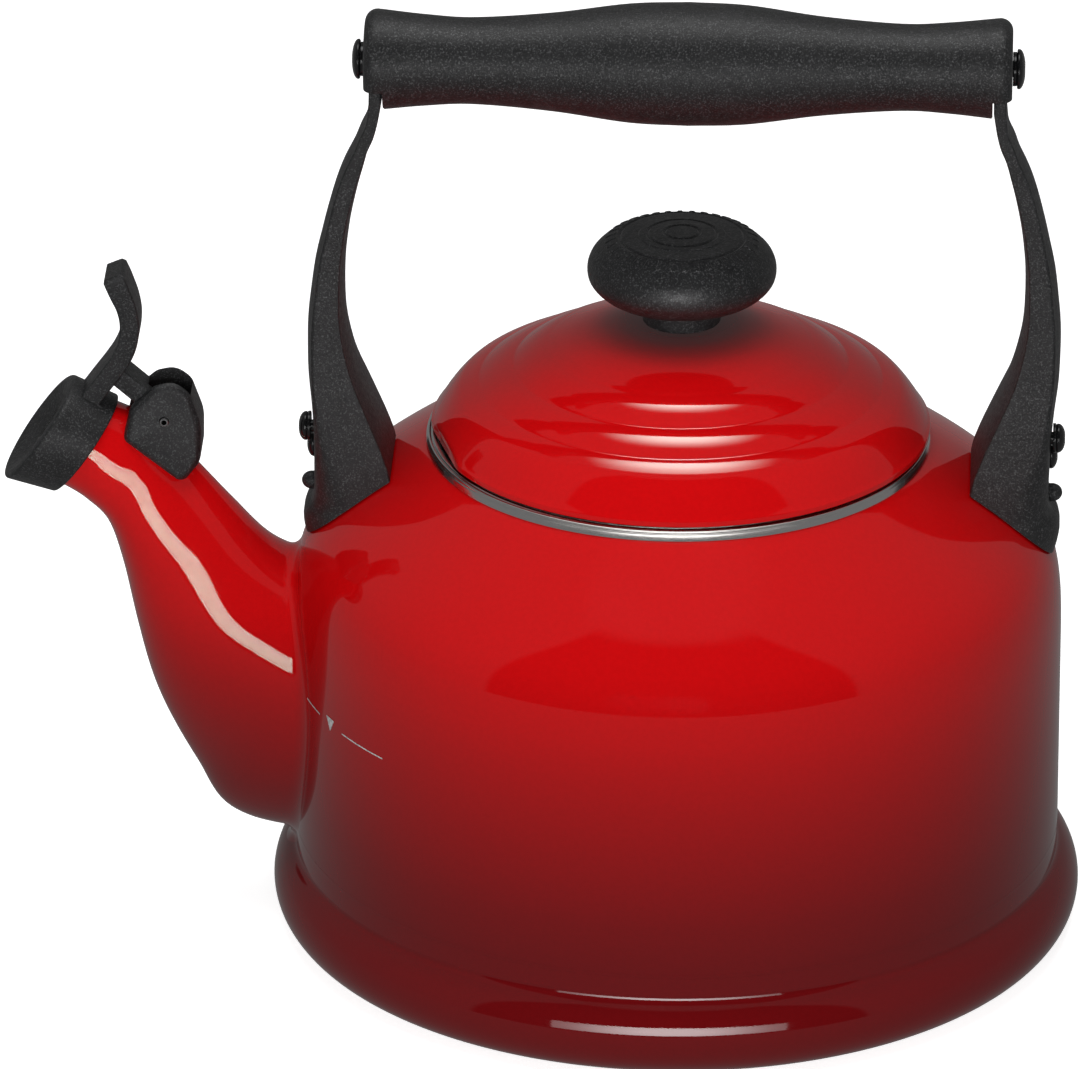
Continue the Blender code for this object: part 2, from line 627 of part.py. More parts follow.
def make_housing():
    corner_a, corner_h = np.array(HOUSING_OUTLINE[0]), np.array(HOUSING_OUTLINE[-1])
    along = (corner_h - corner_a) / np.linalg.norm(corner_h - corner_a)
    upward = np.array([-along[1], along[0]])
    rises = [(np.array(p) - corner_a) @ upward for p in HOUSING_OUTLINE]
    taper = (HOUSING_HALF_BOTTOM - HOUSING_HALF_TOP) / max(rises)
    halves = [HOUSING_HALF_BOTTOM - taper * rise for rise in rises]
    rings = [
        [(x, sign * half, z) for (x, z), half in zip(HOUSING_OUTLINE, halves)] for sign in (-1, 1)
    ]
    housing = lofted("whistle_housing", rings, "black_phenolic")
    bevel(housing, 1.5, segments=2, angle=25.0)
    slot = [(-140.0, 112.0), (-140.0, 145.0), (SLOT_END_X, 145.0), (SLOT_END_X, 112.0)]
    pin_matrix = axis_matrix((PIVOT[0], 0, PIVOT[1]), "+Y")
    cut(
        housing,
        extruded("housing_slot", slot, -SLOT_HALF_WIDTH, SLOT_HALF_WIDTH, None),
        rod("pin_hole", PIN_BORE, -15.0, 15.0, 24, None, pin_matrix),
        lofted("spout_envelope", spout_rings(GAP, SPOUT_SIDES), None),
    )


def make_pivot():
    matrix = axis_matrix((PIVOT[0], 0, PIVOT[1]), "+Y")
    half = 8.3
    profile = [(PIN_RADIUS, half), (PIN_RADIUS, -half), (0.55, -half), (0.55, half)]
    turned("pivot_pin", profile, 20, "stainless", matrix, closed=True)
    lug = [
        (-127.6, 126.0), (-125.8, 131.4), (-123.1, 133.3), (-120.2, 131.6), (-117.6, 121.0),
        (-117.6, 112.0),
    ]
    plate = extruded("spout_lug", lug, 3.2, 4.4, "zinc_steel")
    cut(
        plate,
        rod("lug_hole", PIN_BORE, -12.0, 12.0, 24, None, matrix),
        lofted("lug_envelope", spout_rings(GAP, SPOUT_SIDES), None),
    )


def make_spring():
    """The closing spring: three turns round the pivot pin with two short tails."""
    coil_radius, turns, pitch, start = 2.2, 3.0, 0.82, 0.35
    points = []
    steps = int(turns * 12)
    for i in range(steps + 1):
        turned_by = turns * i / steps
        a = 2 * math.pi * turned_by
        points.append((coil_radius * math.cos(a), start + pitch * turned_by, coil_radius * math.sin(a)))
    first, last = points[0], points[-1]
    points.insert(0, (first[0], first[1], first[2] - 1.8))
    points.append((last[0], last[1], last[2] + 1.8))
    curve = bpy.data.curves.new("torsion_spring", "CURVE")
    curve.dimensions = "3D"
    spline = curve.splines.new("POLY")
    spline.points.add(len(points) - 1)
    for point, (x, y, z) in zip(spline.points, points):
        point.co = ((PIVOT[0] + x) * MM, y * MM, (PIVOT[1] + z) * MM, 1.0)
    curve.bevel_depth = 0.3 * MM
    curve.bevel_resolution = 1
    curve.render_resolution_u = 0
    curve.use_fill_caps = True
    curve.materials.append(finish("stainless"))
    spring = bpy.data.objects.new("torsion_spring", curve)
    bpy.context.scene.collection.objects.link(spring)


def main():
    clear_scene()
    envelope = body_envelope(GAP)
    passage = lofted("spout_passage", spout_rings(-SHEET - 0.2, SPOUT_SIDES), None)
    make_body(passage)
    make_base_pan()
    make_rim_ring()
    make_spout(envelope)
    make_lid()
    make_knob()
    make_grip()
    foot_envelope = body_envelope(0.6)
    make_arm(-1, "left", foot_envelope)
    make_arm(1, "right", foot_envelope)
    cap_envelope = make_cap()
    make_lever(cap_envelope)
    make_housing()
    make_pivot()
    make_spring()


main()
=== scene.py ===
"""The looks of a stovetop whistling kettle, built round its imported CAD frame.

Lengths are in millimetres in the row frame (+Z up, spout at -X, viewer at -Y) and become metres when a mesh
is made.  Driving sizes come from the frame's own boxes.
"""

import json
import math

import bmesh
import bpy
import numpy as np
from mathutils import Matrix, Vector

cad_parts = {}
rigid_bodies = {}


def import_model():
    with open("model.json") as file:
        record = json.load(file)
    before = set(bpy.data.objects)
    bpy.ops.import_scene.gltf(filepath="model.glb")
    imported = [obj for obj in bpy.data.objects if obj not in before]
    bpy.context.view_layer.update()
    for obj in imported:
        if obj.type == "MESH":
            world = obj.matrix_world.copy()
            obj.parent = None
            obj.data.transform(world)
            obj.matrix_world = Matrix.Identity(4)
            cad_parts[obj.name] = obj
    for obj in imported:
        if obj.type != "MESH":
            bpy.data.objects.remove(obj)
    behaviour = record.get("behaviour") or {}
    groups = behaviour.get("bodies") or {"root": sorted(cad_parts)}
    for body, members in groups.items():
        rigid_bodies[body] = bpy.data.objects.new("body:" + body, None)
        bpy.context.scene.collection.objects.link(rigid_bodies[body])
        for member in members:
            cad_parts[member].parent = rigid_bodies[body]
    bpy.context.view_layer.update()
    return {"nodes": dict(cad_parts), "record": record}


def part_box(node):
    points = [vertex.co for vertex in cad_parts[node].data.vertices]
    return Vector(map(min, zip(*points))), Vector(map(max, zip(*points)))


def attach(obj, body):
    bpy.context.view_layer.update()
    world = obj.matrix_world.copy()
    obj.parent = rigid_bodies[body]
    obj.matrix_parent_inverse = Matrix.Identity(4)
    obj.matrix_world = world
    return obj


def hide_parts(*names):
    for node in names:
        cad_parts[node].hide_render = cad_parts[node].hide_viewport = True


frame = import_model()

MM = 0.001
ROUND = 256  # sides of the large turned pieces
SLOTS = {part["node"]: part["material_slot"] for part in frame["record"]["subparts"]}


def box_mm(node):
    low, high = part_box(node)
    return np.array(low) / MM, np.array(high) / MM


WALL_R = box_mm("body_shell")[1][0]
FLANGE_R = box_mm("base_pan")[1][0]
KNOB_TOP = box_mm("knob")[1][2]
KNOB_R = box_mm("knob")[1][0]
GRIP_LOW, GRIP_HIGH = box_mm("handle_grip")
PIN_LOW, PIN_HIGH = box_mm("pivot_pin")
PIVOT = (PIN_LOW + PIN_HIGH) / 2

# ---------------------------------------------------------------- outlines


def arc(centre, radius, start, end, count):
    """Points on a circle, or on an ellipse if radius is a pair, from start to end in degrees."""
    rx, rz = radius if isinstance(radius, tuple) else (radius, radius)
    angles = np.radians(np.linspace(start, end, count))
    return [(centre[0] + rx * math.cos(a), centre[1] + rz * math.sin(a)) for a in angles]


def bezier(start, pull_start, pull_end, end, count):
    t = np.linspace(0.0, 1.0, count)[:, None]
    a, b, c, d = (np.array(p, float) for p in (start, pull_start, pull_end, end))
    return (1 - t) ** 3 * a + 3 * (1 - t) ** 2 * t * b + 3 * (1 - t) * t**2 * c + t**3 * d


def smooth_rows(rows, per_span):
    """More rows on a Catmull-Rom curve through the given ones."""
    points = np.array(rows, float)
    padded = np.vstack([2 * points[0] - points[1], points, 2 * points[-1] - points[-2]])
    out = []
    for i in range(1, len(padded) - 2):
        before, here, there, after = padded[i - 1 : i + 3]
        for t in np.arange(per_span) / per_span:
            linear = 2 * here + (there - before) * t
            square = (2 * before - 5 * here + 4 * there - after) * t**2
            cube = (3 * here - before - 3 * there + after) * t**3
            out.append(0.5 * (linear + square + cube))
    out.append(points[-1])
    return np.array(out)


def rounded(corners, steps=5, closed=False):
    """An outline of (x, z, radius) corners with each corner turned into an arc of that radius."""
    count = len(corners)
    out = []
    for i, (x, z, radius) in enumerate(corners):
        here = np.array((x, z), float)
        ends = not closed and i in (0, count - 1)
        if ends or radius <= 0:
            out.append(here)
            continue
        before = np.array(corners[i - 1][:2], float) - here
        after = np.array(corners[(i + 1) % count][:2], float) - here
        a, b = before / np.linalg.norm(before), after / np.linalg.norm(after)
        half = 0.5 * math.acos(max(-1.0, min(1.0, float(a @ b))))
        reach = min(radius / math.tan(half), 0.48 * np.linalg.norm(before), 0.48 * np.linalg.norm(after))
        fitted = reach * math.tan(half)
        middle = (a + b) / np.linalg.norm(a + b)
        centre = here + middle * fitted / math.sin(half)
        start, end = here + a * reach - centre, here + b * reach - centre
        turn = math.atan2(start[0] * end[1] - start[1] * end[0], start @ end)
        first = math.atan2(start[1], start[0])
        for share in np.linspace(0.0, 1.0, steps):
            angle = first + turn * share
            out.append(centre + fitted * np.array((math.cos(angle), math.sin(angle))))
    return np.array(out)


def offset_outline(points, distance):
    """An open outline moved sideways, to the left of its direction of travel."""
    line = np.array(points, float)
    along = np.gradient(line, axis=0)
    along /= np.linalg.norm(along, axis=1)[:, None]
    return line + distance * np.stack([-along[:, 1], along[:, 0]], axis=1)


# ---------------------------------------------------------------- meshes


def piece(name, verts, faces, material, sharp=35.0):
    """A mesh object from millimetre points, smooth except at edges sharper than an angle in degrees."""
    mesh = bpy.data.meshes.new(name)
    mesh.from_pydata([tuple(c * MM for c in v) for v in verts], [], faces)
    bm = bmesh.new()
    bm.from_mesh(mesh)
    bmesh.ops.remove_doubles(bm, verts=bm.verts, dist=1e-7)
    bmesh.ops.recalc_face_normals(bm, faces=bm.faces)
    bm.to_mesh(mesh)
    bm.free()
    mesh.shade_smooth()
    mesh.set_sharp_from_angle(angle=math.radians(sharp))
    obj = bpy.data.objects.new(name, mesh)
    bpy.context.scene.collection.objects.link(obj)
    if material:
        mesh.materials.append(material)
    return obj


def skin(name, rings, material, wrap=False, sharp=35.0):
    """A closed surface through rings of equal point count: wrapped into a hollow, or capped at its ends."""
    rings = np.asarray(rings, float)
    rows, count = rings.shape[:2]
    verts = [tuple(p) for ring in rings for p in ring]
    faces = []
    for i in range(rows if wrap else rows - 1):
        here, there = i * count, ((i + 1) % rows) * count
        for j in range(count):
            k = (j + 1) % count
            faces.append((here + j, here + k, there + k, there + j))
    if not wrap:
        for start in (0, (rows - 1) * count):
            verts.append(tuple(np.mean(verts[start : start + count], axis=0)))
            middle = len(verts) - 1
            faces += [(start + j, start + (j + 1) % count, middle) for j in range(count)]
    return piece(name, verts, faces, material, sharp)


def turned(name, profile, material, wrap=True, steps=ROUND, matrix=None, sharp=35.0, centre=(0.0, 0.0)):
    """A solid of revolution about Z from (radius, height) points; matrix, in mm, puts it elsewhere."""
    angles = np.arange(steps) * 2 * math.pi / steps
    rings = [
        [(centre[0] + r * math.cos(a), centre[1] + r * math.sin(a), z) for a in angles] for r, z in profile
    ]
    if matrix is not None:
        rings = [[matrix @ Vector(p) for p in ring] for ring in rings]
    return skin(name, rings, material, wrap, sharp)


def plate(name, outline, y_low, y_high, material=None):
    """A plate from an (x, z) outline, between two depths along Y."""
    return skin(name, [[(x, y, z) for x, z in outline] for y in (y_low, y_high)], material)


def axis_matrix(point, direction):
    """Puts local Z along +X, -X or +Y at a point."""
    turns = {
        "+X": Matrix.Rotation(math.pi / 2, 4, "Y"),
        "-X": Matrix.Rotation(-math.pi / 2, 4, "Y"),
        "+Y": Matrix.Rotation(-math.pi / 2, 4, "X"),
    }
    return Matrix.Translation(point) @ turns[direction]


def rod(name, radius, low, high, matrix=None, steps=48, material=None):
    return turned(name, [(radius, low), (radius, high)], material, False, steps, matrix)


def join_or_cut(obj, others, operation, sharp=35.0):
    """Runs Booleans on obj, keeps the result as its mesh and removes the other solids."""
    for other in others:
        modifier = obj.modifiers.new(other.name, "BOOLEAN")
        modifier.operation = operation
        modifier.solver = "EXACT"
        modifier.object = other
    apply_modifiers(obj, sharp)
    for other in others:
        bpy.data.objects.remove(other, do_unlink=True)
    return obj


def apply_modifiers(obj, sharp=35.0):
    bpy.context.view_layer.update()
    graph = bpy.context.evaluated_depsgraph_get()
    mesh = bpy.data.meshes.new_from_object(obj.evaluated_get(graph))
    mesh.shade_smooth()
    mesh.set_sharp_from_angle(angle=math.radians(sharp))
    obj.modifiers.clear()
    obj.data = mesh


def soften(obj, width, segments=3, angle=35.0, sharp=50.0):
    """Rounds every edge sharper than an angle."""
    modifier = obj.modifiers.new("soften", "BEVEL")
    modifier.width = width * MM
    modifier.segments = segments
    modifier.limit_method = "ANGLE"
    modifier.angle_limit = math.radians(angle)
    modifier.harden_normals = False
    apply_modifiers(obj, sharp)
    return obj


def place(obj, body, slot, *nodes):
    """Rides obj on a CAD body, in place of the CAD nodes it stands for."""
    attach(obj, body)
    if nodes:
        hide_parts(*nodes)
    return obj


# ---------------------------------------------------------------- materials


class Nodes:
    """A short way to write the node tree of a material or a world."""

    def __init__(self, owner):
        self.owner = owner
        owner.use_nodes = True
        self.tree = owner.node_tree
        self.shader = self.tree.nodes.get("Principled BSDF")
        self.place = self.add("ShaderNodeTexCoord").outputs["Object"]

    def add(self, kind, settings=None, **inputs):
        node = self.tree.nodes.new(kind)
        for key, value in (settings or {}).items():
            setattr(node, key, value)
        for key, value in inputs.items():
            self.feed(node.inputs[key.replace("_", " ")], value)
        return node

    def feed(self, socket, value):
        if isinstance(value, bpy.types.NodeSocket):
            self.tree.links.new(value, socket)
        else:
            socket.default_value = value

    def math(self, operation, first, second=0.0, clamp=False):
        node = self.add("ShaderNodeMath", {"operation": operation, "use_clamp": clamp})
        self.feed(node.inputs[0], first)
        self.feed(node.inputs[1], second)
        return node.outputs[0]

    def noise(self, scale, detail=2.0, roughness=0.5, stretch=None):
        place = self.place
        if stretch:
            mapping = self.add("ShaderNodeMapping", Vector=place, Scale=stretch)
            place = mapping.outputs[0]
        made = self.add(
            "ShaderNodeTexNoise", Vector=place, Scale=scale, Detail=detail, Roughness=roughness
        )
        return made.outputs["Fac"]

    def ramp(self, value, stops):
        """Colours or greys at positions from 0 to 1."""
        node = self.add("ShaderNodeValToRGB", Fac=value)
        node.color_ramp.interpolation = "LINEAR"
        elements = node.color_ramp.elements
        while len(elements) < len(stops):
            elements.new(0.5)
        for element, (position, colour) in zip(elements, stops):
            element.position = position
            element.color = (colour,) * 3 + (1.0,) if isinstance(colour, float) else (*colour, 1.0)
        return node.outputs["Color"]

    def mix(self, share, first, second, blend="MIX"):
        node = self.add("ShaderNodeMix", {"data_type": "RGBA", "blend_type": blend})
        self.feed(node.inputs["Factor"], share)
        for socket, value in ((node.inputs[6], first), (node.inputs[7], second)):
            self.feed(socket, (*value, 1.0) if isinstance(value, tuple) else value)
        return node.outputs[2]

    def bump(self, height, strength, distance_mm, onto=None):
        node = self.add(
            "ShaderNodeBump", Height=height, Strength=strength, Distance=distance_mm * MM
        )
        if onto:
            self.feed(node.inputs["Normal"], onto)
        return node.outputs["Normal"]

    def set(self, **inputs):
        for key, value in inputs.items():
            self.feed(self.shader.inputs[key.replace("_", " ")], value)
        return self.owner


# The enamel's red at heights above the base, in millimetres
ENAMEL_REDS = [
    (0, 0.15), (12, 0.135), (26, 0.137), (38, 0.172), (56, 0.268), (67, 0.335),
    (76, 0.40), (86, 0.48), (105, 0.54), (115, 0.570), (125, 0.580), (140, 0.59),
]
ENAMEL_GREEN, ENAMEL_BLUE = 0.0024, 0.0036


def painted_knob_shade(n):
    """Painted shade: the red darkens round the knob's seat at the middle of the lid, where the knob's
    shadow falls.
    """
    axes = n.add("ShaderNodeSeparateXYZ", Vector=n.place).outputs
    from_middle = n.add("ShaderNodeVectorMath", {"operation": "LENGTH"})
    flat = n.add("ShaderNodeCombineXYZ", X=n.math("SUBTRACT", axes["X"], LID_X * MM), Y=axes["Y"])
    n.feed(from_middle.inputs[0], flat.outputs[0])
    reach = n.math("DIVIDE", from_middle.outputs["Value"], 40.0 * MM, clamp=True)
    return n.ramp(reach, [(0.20, 0.12), (0.34, 0.30), (0.46, 0.66), (0.58, 0.92), (0.70, 1.0)])


def enamel_material():
    """Vitreous enamel: bright red that the sprayer has let fall off to maroon towards the base."""
    n = Nodes(bpy.data.materials.new("red_enamel_gloss"))
    height = n.add("ShaderNodeSeparateXYZ", Vector=n.place).outputs["Z"]
    drift = n.math("MULTIPLY", n.math("SUBTRACT", n.noise(14.0, 3.0), 0.5), 4.0 * MM)
    top = ENAMEL_REDS[-1][0]
    level = n.math("DIVIDE", n.math("ADD", height, drift), top * MM, clamp=True)
    colour = n.ramp(level, [(z / top, (red, ENAMEL_GREEN, ENAMEL_BLUE)) for z, red in ENAMEL_REDS])
    mottle = n.ramp(n.noise(900.0, 2.0), [(0.35, 0.95), (0.65, 1.0)])
    colour = n.mix(1.0, colour, mottle, "MULTIPLY")
    # painted shade round the knob's seat, multiplied into the red
    colour = n.mix(1.0, colour, painted_knob_shade(n), "MULTIPLY")
    peel = n.bump(n.noise(160.0, 1.0), 0.05, 0.10)
    waves = n.bump(n.noise(38.0, 1.0), 0.05, 0.6, peel)
    roughness = n.ramp(n.noise(60.0, 3.0), [(0.3, 0.035), (0.7, 0.065)])
    return n.set(Base_Color=colour, Roughness=roughness, Normal=waves)


def phenolic_material(name="black_phenolic_grain"):
    """Moulded phenolic: dark charcoal with fine paler specks and a fine cast texture."""
    n = Nodes(bpy.data.materials.new(name))
    speck = n.ramp(n.noise(2400.0, 2.0, 0.6), [(0.54, 0.0), (0.66, 1.0)])
    cloud = n.ramp(n.noise(260.0, 4.0, 0.6), [(0.35, 0.0), (0.7, 1.0)])
    base = n.mix(cloud, (0.0080, 0.0082, 0.0086), (0.0125, 0.0127, 0.0132))
    colour = n.mix(speck, base, (0.058, 0.058, 0.060))
    grain = n.bump(n.noise(1500.0, 3.0, 0.65), 0.75, 0.16)
    cast = n.bump(n.noise(330.0, 2.0), 0.14, 0.35, grain)
    roughness = n.ramp(n.noise(900.0, 2.0), [(0.3, 0.38), (0.7, 0.52)])
    return n.set(Base_Color=colour, Roughness=roughness, Normal=cast)


def gloss_black_material():
    n = Nodes(bpy.data.materials.new("black_screw_gloss"))
    smudge = n.ramp(n.noise(700.0, 3.0), [(0.35, 0.10), (0.7, 0.19)])
    n.set(Base_Color=(0.006, 0.006, 0.0065, 1.0), Specular_IOR_Level=0.5)
    return n.set(Roughness=smudge, Normal=n.bump(n.noise(900.0, 2.0), 0.10, 0.05))


def steel_material(name, tint, low, high, stretch):
    """Metal with fine marks drawn out along one direction."""
    n = Nodes(bpy.data.materials.new(name))
    marks = n.noise(420.0, 4.0, 0.6, stretch)
    colour = n.mix(marks, tuple(c * 0.82 for c in tint), tint)
    roughness = n.ramp(marks, [(0.3, low), (0.7, high)])
    n.set(Metallic=1.0)
    return n.set(Base_Color=colour, Roughness=roughness, Normal=n.bump(marks, 0.12, 0.04))


def print_material():
    n = Nodes(bpy.data.materials.new("fill_mark_print"))
    worn = n.ramp(n.noise(1200.0, 3.0), [(0.30, 0.30), (0.60, 0.62)])
    return n.set(Base_Color=worn, Roughness=0.5)


LID_X = 0.6  # the lid's axis
ENAMEL = enamel_material()
PHENOLIC = phenolic_material()
GLOSS_BLACK = gloss_black_material()
STAINLESS = steel_material("stainless_polished", (0.74, 0.73, 0.72), 0.12, 0.24, (1.0, 1.0, 14.0))
ZINC = steel_material("zinc_plated", (0.52, 0.52, 0.50), 0.28, 0.45, (1.0, 1.0, 1.0))
BRASS = steel_material("brass_turned", (0.66, 0.47, 0.20), 0.20, 0.34, (8.0, 1.0, 1.0))
MATERIALS = {
    "red_enamel": ENAMEL,
    "stainless": STAINLESS,
    "black_phenolic": PHENOLIC,
    "black_screw": GLOSS_BLACK,
    "zinc_steel": ZINC,
    "brass": BRASS,
}


def dress_frame():
    """Gives every CAD node its slot's material."""
    for name, node in frame["nodes"].items():
        node.data.materials.clear()
        node.data.materials.append(MATERIALS[SLOTS[name]])
        node.data.shade_smooth()
        node.data.set_sharp_from_angle(angle=math.radians(35.0))


# ---------------------------------------------------------------- vessel

SHEET = 1.2
NECK_R = 59.4
NECK_TOP = 126.0
SHOULDER_TOP = (60.4, 124.2)
SHOULDER = [(WALL_R, 76.65), (WALL_R, 103.1), (89.3, 103.6), SHOULDER_TOP]
FLANGE_CENTRE = (FLANGE_R - 9.74, 10.1)
FLANGE_SIZE = (9.74, 10.1)
FLANGE_FILLET_TOP = 26.4


def shoulder_outline(count=44):
    """The body's outside from the neck to its lower edge."""
    curve = bezier(*SHOULDER, count)[::-1]
    wall = [(WALL_R, z) for z in np.linspace(SHOULDER[0][1], 20.8, 10)[1:]]
    return np.vstack([curve, wall])


def flange_outline():
    """The base pan's outside, from the fillet against the wall, round the bulge, to the flat bottom."""
    bulge = arc(FLANGE_CENTRE, FLANGE_SIZE, 57.0, -90.0, 40)
    top = np.array((WALL_R + 0.02, FLANGE_FILLET_TOP))
    start, following = np.array(bulge[0]), np.array(bulge[1])
    slope = (start - following) / np.linalg.norm(start - following)
    fillet = bezier(top, top - (0, 4.4), start + slope * 2.6, start, 14)
    return np.vstack([fillet[:-1], bulge])


def vessel_radius(heights):
    """The outside radius of body and flange together at each height."""
    outline = np.vstack([shoulder_outline(120)[:-9], [(WALL_R, FLANGE_FILLET_TOP)], flange_outline()[1:25]])
    order = np.argsort(outline[:, 1])
    return np.interp(heights, outline[order, 1], outline[order, 0])


# Spout stations: centre x, centre z, half height, half width, tilt of the section in degrees, egg shape:
# the widest place is above the middle if positive
SPOUT_STATIONS = [
    (-145.8, 122.6, 11.6, 11.6, 34.0, -0.08),
    (-141.2, 120.9, 12.0, 12.0, 35.0, -0.11),
    (-134.5, 117.4, 12.5, 12.5, 42.0, -0.285),
    (-127.3, 110.1, 12.7, 12.7, 54.0, -0.365),
    (-120.4, 98.4, 15.4, 15.2, 61.5, -0.18),
    (-113.9, 85.3, 19.6, 18.2, 59.0, -0.01),
    (-105.9, 73.7, 25.9, 21.8, 51.0, 0.18),
    (-96.1, 63.1, 32.3, 25.0, 40.0, 0.33),
    (-87.5, 57.5, 38.1, 27.4, 33.0, 0.28),
    (-77.0, 55.0, 35.6, 27.0, 18.0, 0.12),
    (-64.0, 54.0, 32.0, 26.0, 10.0, 0.0),
]
SPOUT_SIDES = 96


def section(centre, half_height, half_width, tilt, count, egg=0.0):
    """A ring of an oval tube whose centre line lies in the XZ plane, tilted by an angle in degrees."""
    lean = math.radians(tilt)
    angles = np.arange(count) * 2 * math.pi / count
    rise = half_height * np.cos(angles)
    x = centre[0] + rise * math.sin(lean)
    z = centre[1] + rise * math.cos(lean)
    return np.stack([x, half_width * np.sin(angles) * (1 + egg * np.cos(angles)), z], axis=1)


def spout_rings(growth, count=SPOUT_SIDES, per_span=10):
    rows = smooth_rows(SPOUT_STATIONS, per_span)
    return np.array([section(r[:2], r[2] + growth, r[3] + growth, r[4], count, r[5]) for r in rows])


def cut_at_wall(lines, inset):
    """Where each line along the spout first enters the vessel: (row number, share of the step, point)."""
    radius = np.hypot(lines[:, :, 0], lines[:, :, 1])
    inside = radius < vessel_radius(lines[:, :, 2]) - inset
    found = []
    for j in range(lines.shape[1]):
        i = int(np.argmax(inside[:, j]))
        a, b = lines[i - 1, j], lines[i, j]
        low, high = 0.0, 1.0
        for _ in range(30):
            t = (low + high) / 2
            p = a + (b - a) * t
            within = math.hypot(p[0], p[1]) < vessel_radius(p[2]) - inset
            low, high = (low, t) if within else (t, high)
        found.append(a + (b - a) * high)
    return np.array(found)


def resample(line, end, count, shorten):
    """Points at even distances along a polyline that stops a distance short of end."""
    steps = np.linalg.norm(line - end, axis=1)
    last = int(np.argmin(steps))
    path = np.vstack([line[:last], end])
    lengths = np.concatenate([[0.0], np.cumsum(np.linalg.norm(np.diff(path, axis=0), axis=1))])
    wanted = np.linspace(0.0, lengths[-1] - shorten, count)
    return np.stack([np.interp(wanted, lengths, path[:, k]) for k in range(3)], axis=1)


def make_spout():
    """Gooseneck spout whose root flows into the body's wall through a fillet."""
    fillet, spread = 3.6, 4.2
    outer = spout_rings(0.0)
    meet = cut_at_wall(outer, 0.0)
    around = np.roll(meet, -1, axis=0) - np.roll(meet, 1, axis=0)
    out_from_wall = meet * (1.0, 1.0, 0.0)
    out_from_wall /= np.linalg.norm(out_from_wall, axis=1)[:, None]
    away = np.cross(out_from_wall, around)
    away /= np.linalg.norm(away, axis=1)[:, None]
    away *= np.sign(np.einsum("ij,ij->i", away, meet - meet.mean(axis=0)))[:, None]
    landing = meet + away * spread
    radius = vessel_radius(landing[:, 2]) - 0.04
    landing[:, :2] *= (radius / np.hypot(landing[:, 0], landing[:, 1]))[:, None]

    count, turn = 70, 10
    body = np.array([resample(outer[:, j], meet[j], count, fillet) for j in range(outer.shape[1])])
    rows = [body[:, i] for i in range(count)]
    start = body[:, -1]
    for t in np.linspace(0.0, 1.0, turn + 1)[1:]:
        row = (1 - t) ** 2 * start + 2 * (1 - t) * t * meet + t**2 * landing
        rows.append(row)
    inner = spout_rings(-SHEET)
    inner_meet = cut_at_wall(inner, SHEET)
    inside = np.array([resample(inner[:, j], inner_meet[j], 30, 0.0) for j in range(inner.shape[1])])
    rows.append(landing * (0.994, 0.994, 1.0))
    rows += [inside[:, i] for i in range(29, 0, -1)]
    lip_centre = (outer[0] + inner[0]) / 2
    forward = outer[0].mean(axis=0) - outer[3].mean(axis=0)
    forward /= np.linalg.norm(forward)
    lip = []
    for angle in np.radians(np.linspace(180.0, 0.0, 9)):
        across = (outer[0] - inner[0]) / 2 * math.cos(angle)
        lip.append(lip_centre + across + forward * (SHEET / 2) * math.sin(angle))
    rows += lip[:-1]
    spout = skin("spout_enamel", rows, ENAMEL, wrap=True, sharp=60.0)
    place(spout, "vessel", "red_enamel", "spout")


def make_body():
    outside = shoulder_outline()
    inside = offset_outline(outside, -SHEET)[::-1]
    neck = [(NECK_R, NECK_TOP), (NECK_R, SHOULDER_TOP[1] + 0.5)]
    inner_neck = [(NECK_R - SHEET, SHOULDER_TOP[1] - 0.8), (NECK_R - SHEET, NECK_TOP)]
    body = turned("body_enamel", [*neck, *outside, *inside, *inner_neck], ENAMEL)
    passage = skin("spout_passage", spout_rings(-SHEET - 0.1, 64, 6), None)
    join_or_cut(body, [passage], "DIFFERENCE")
    place(body, "vessel", "red_enamel", "body_shell")


def make_base():
    outside = flange_outline()
    sheet = 1.5
    inner = arc(FLANGE_CENTRE, (FLANGE_SIZE[0] - sheet, FLANGE_SIZE[1] - sheet), -90.0, 57.0, 24)
    profile = [*outside, (20.0, 0.0), (0.01, 0.0), (0.01, sheet), (20.0, sheet), *inner]
    profile += [(WALL_R - 1.6, 20.0), (WALL_R - 1.6, 22.5)]
    base = turned("base_enamel", profile, ENAMEL)
    place(base, "vessel", "red_enamel", "base_pan")


def make_rim_ring():
    """Stainless trim: an outer band under a thin rolled bead, with an inner leg down the neck."""
    low = SHOULDER_TOP[1] + 0.2
    corners = [
        (57.7, 121.5, 0.1), (57.7, 126.9, 0.5), (59.0, 126.9, 0.3), (59.35, 126.55, 0.2),
        (59.7, 126.95, 0.32), (60.25, 126.7, 0.32), (60.2, 126.2, 0.12), (60.45, 125.95, 0.25),
        (60.6, low, 0.2), (60.2, low - 0.2, 0.1),
        (59.9, 126.1, 0.2), (58.1, 126.2, 0.3), (58.1, 121.5, 0.1),
    ]
    ring = turned("rim_trim", rounded(corners, 4, closed=True), STAINLESS, sharp=60.0)
    place(ring, "vessel", "stainless", "rim_ring")


def make_fill_mark():
    """A fine printed line round the wall at the filling level, broken by a small solid triangle."""
    level, thick, lift = 67.7, 0.34, 0.05
    spans = [(198.0, 204.6), (212.2, 222.8)]
    verts, faces = [], []

    def strip(start, end, low, high, count):
        first = len(verts)
        for a in np.radians(np.linspace(start, end, count)):
            for z in (low, high):
                r = WALL_R + lift
                verts.append((r * math.cos(a), r * math.sin(a), z))
        for i in range(count - 1):
            k = first + 2 * i
            faces.append((k, k + 2, k + 3, k + 1))

    for start, end in spans:
        strip(start, end, level - thick / 2, level + thick / 2, 20)
    middle, half, rows = 208.4, 1.25, 9
    for i in range(rows):
        low = level - 1.6 + 3.2 * i / rows
        wide = half * (i + 1) / rows
        strip(middle - wide, middle + wide, low, low + 3.2 / rows, 4)
    mark = piece("fill_mark", verts, faces, print_material())
    place(mark, "vessel", "stainless")


# ---------------------------------------------------------------- lid

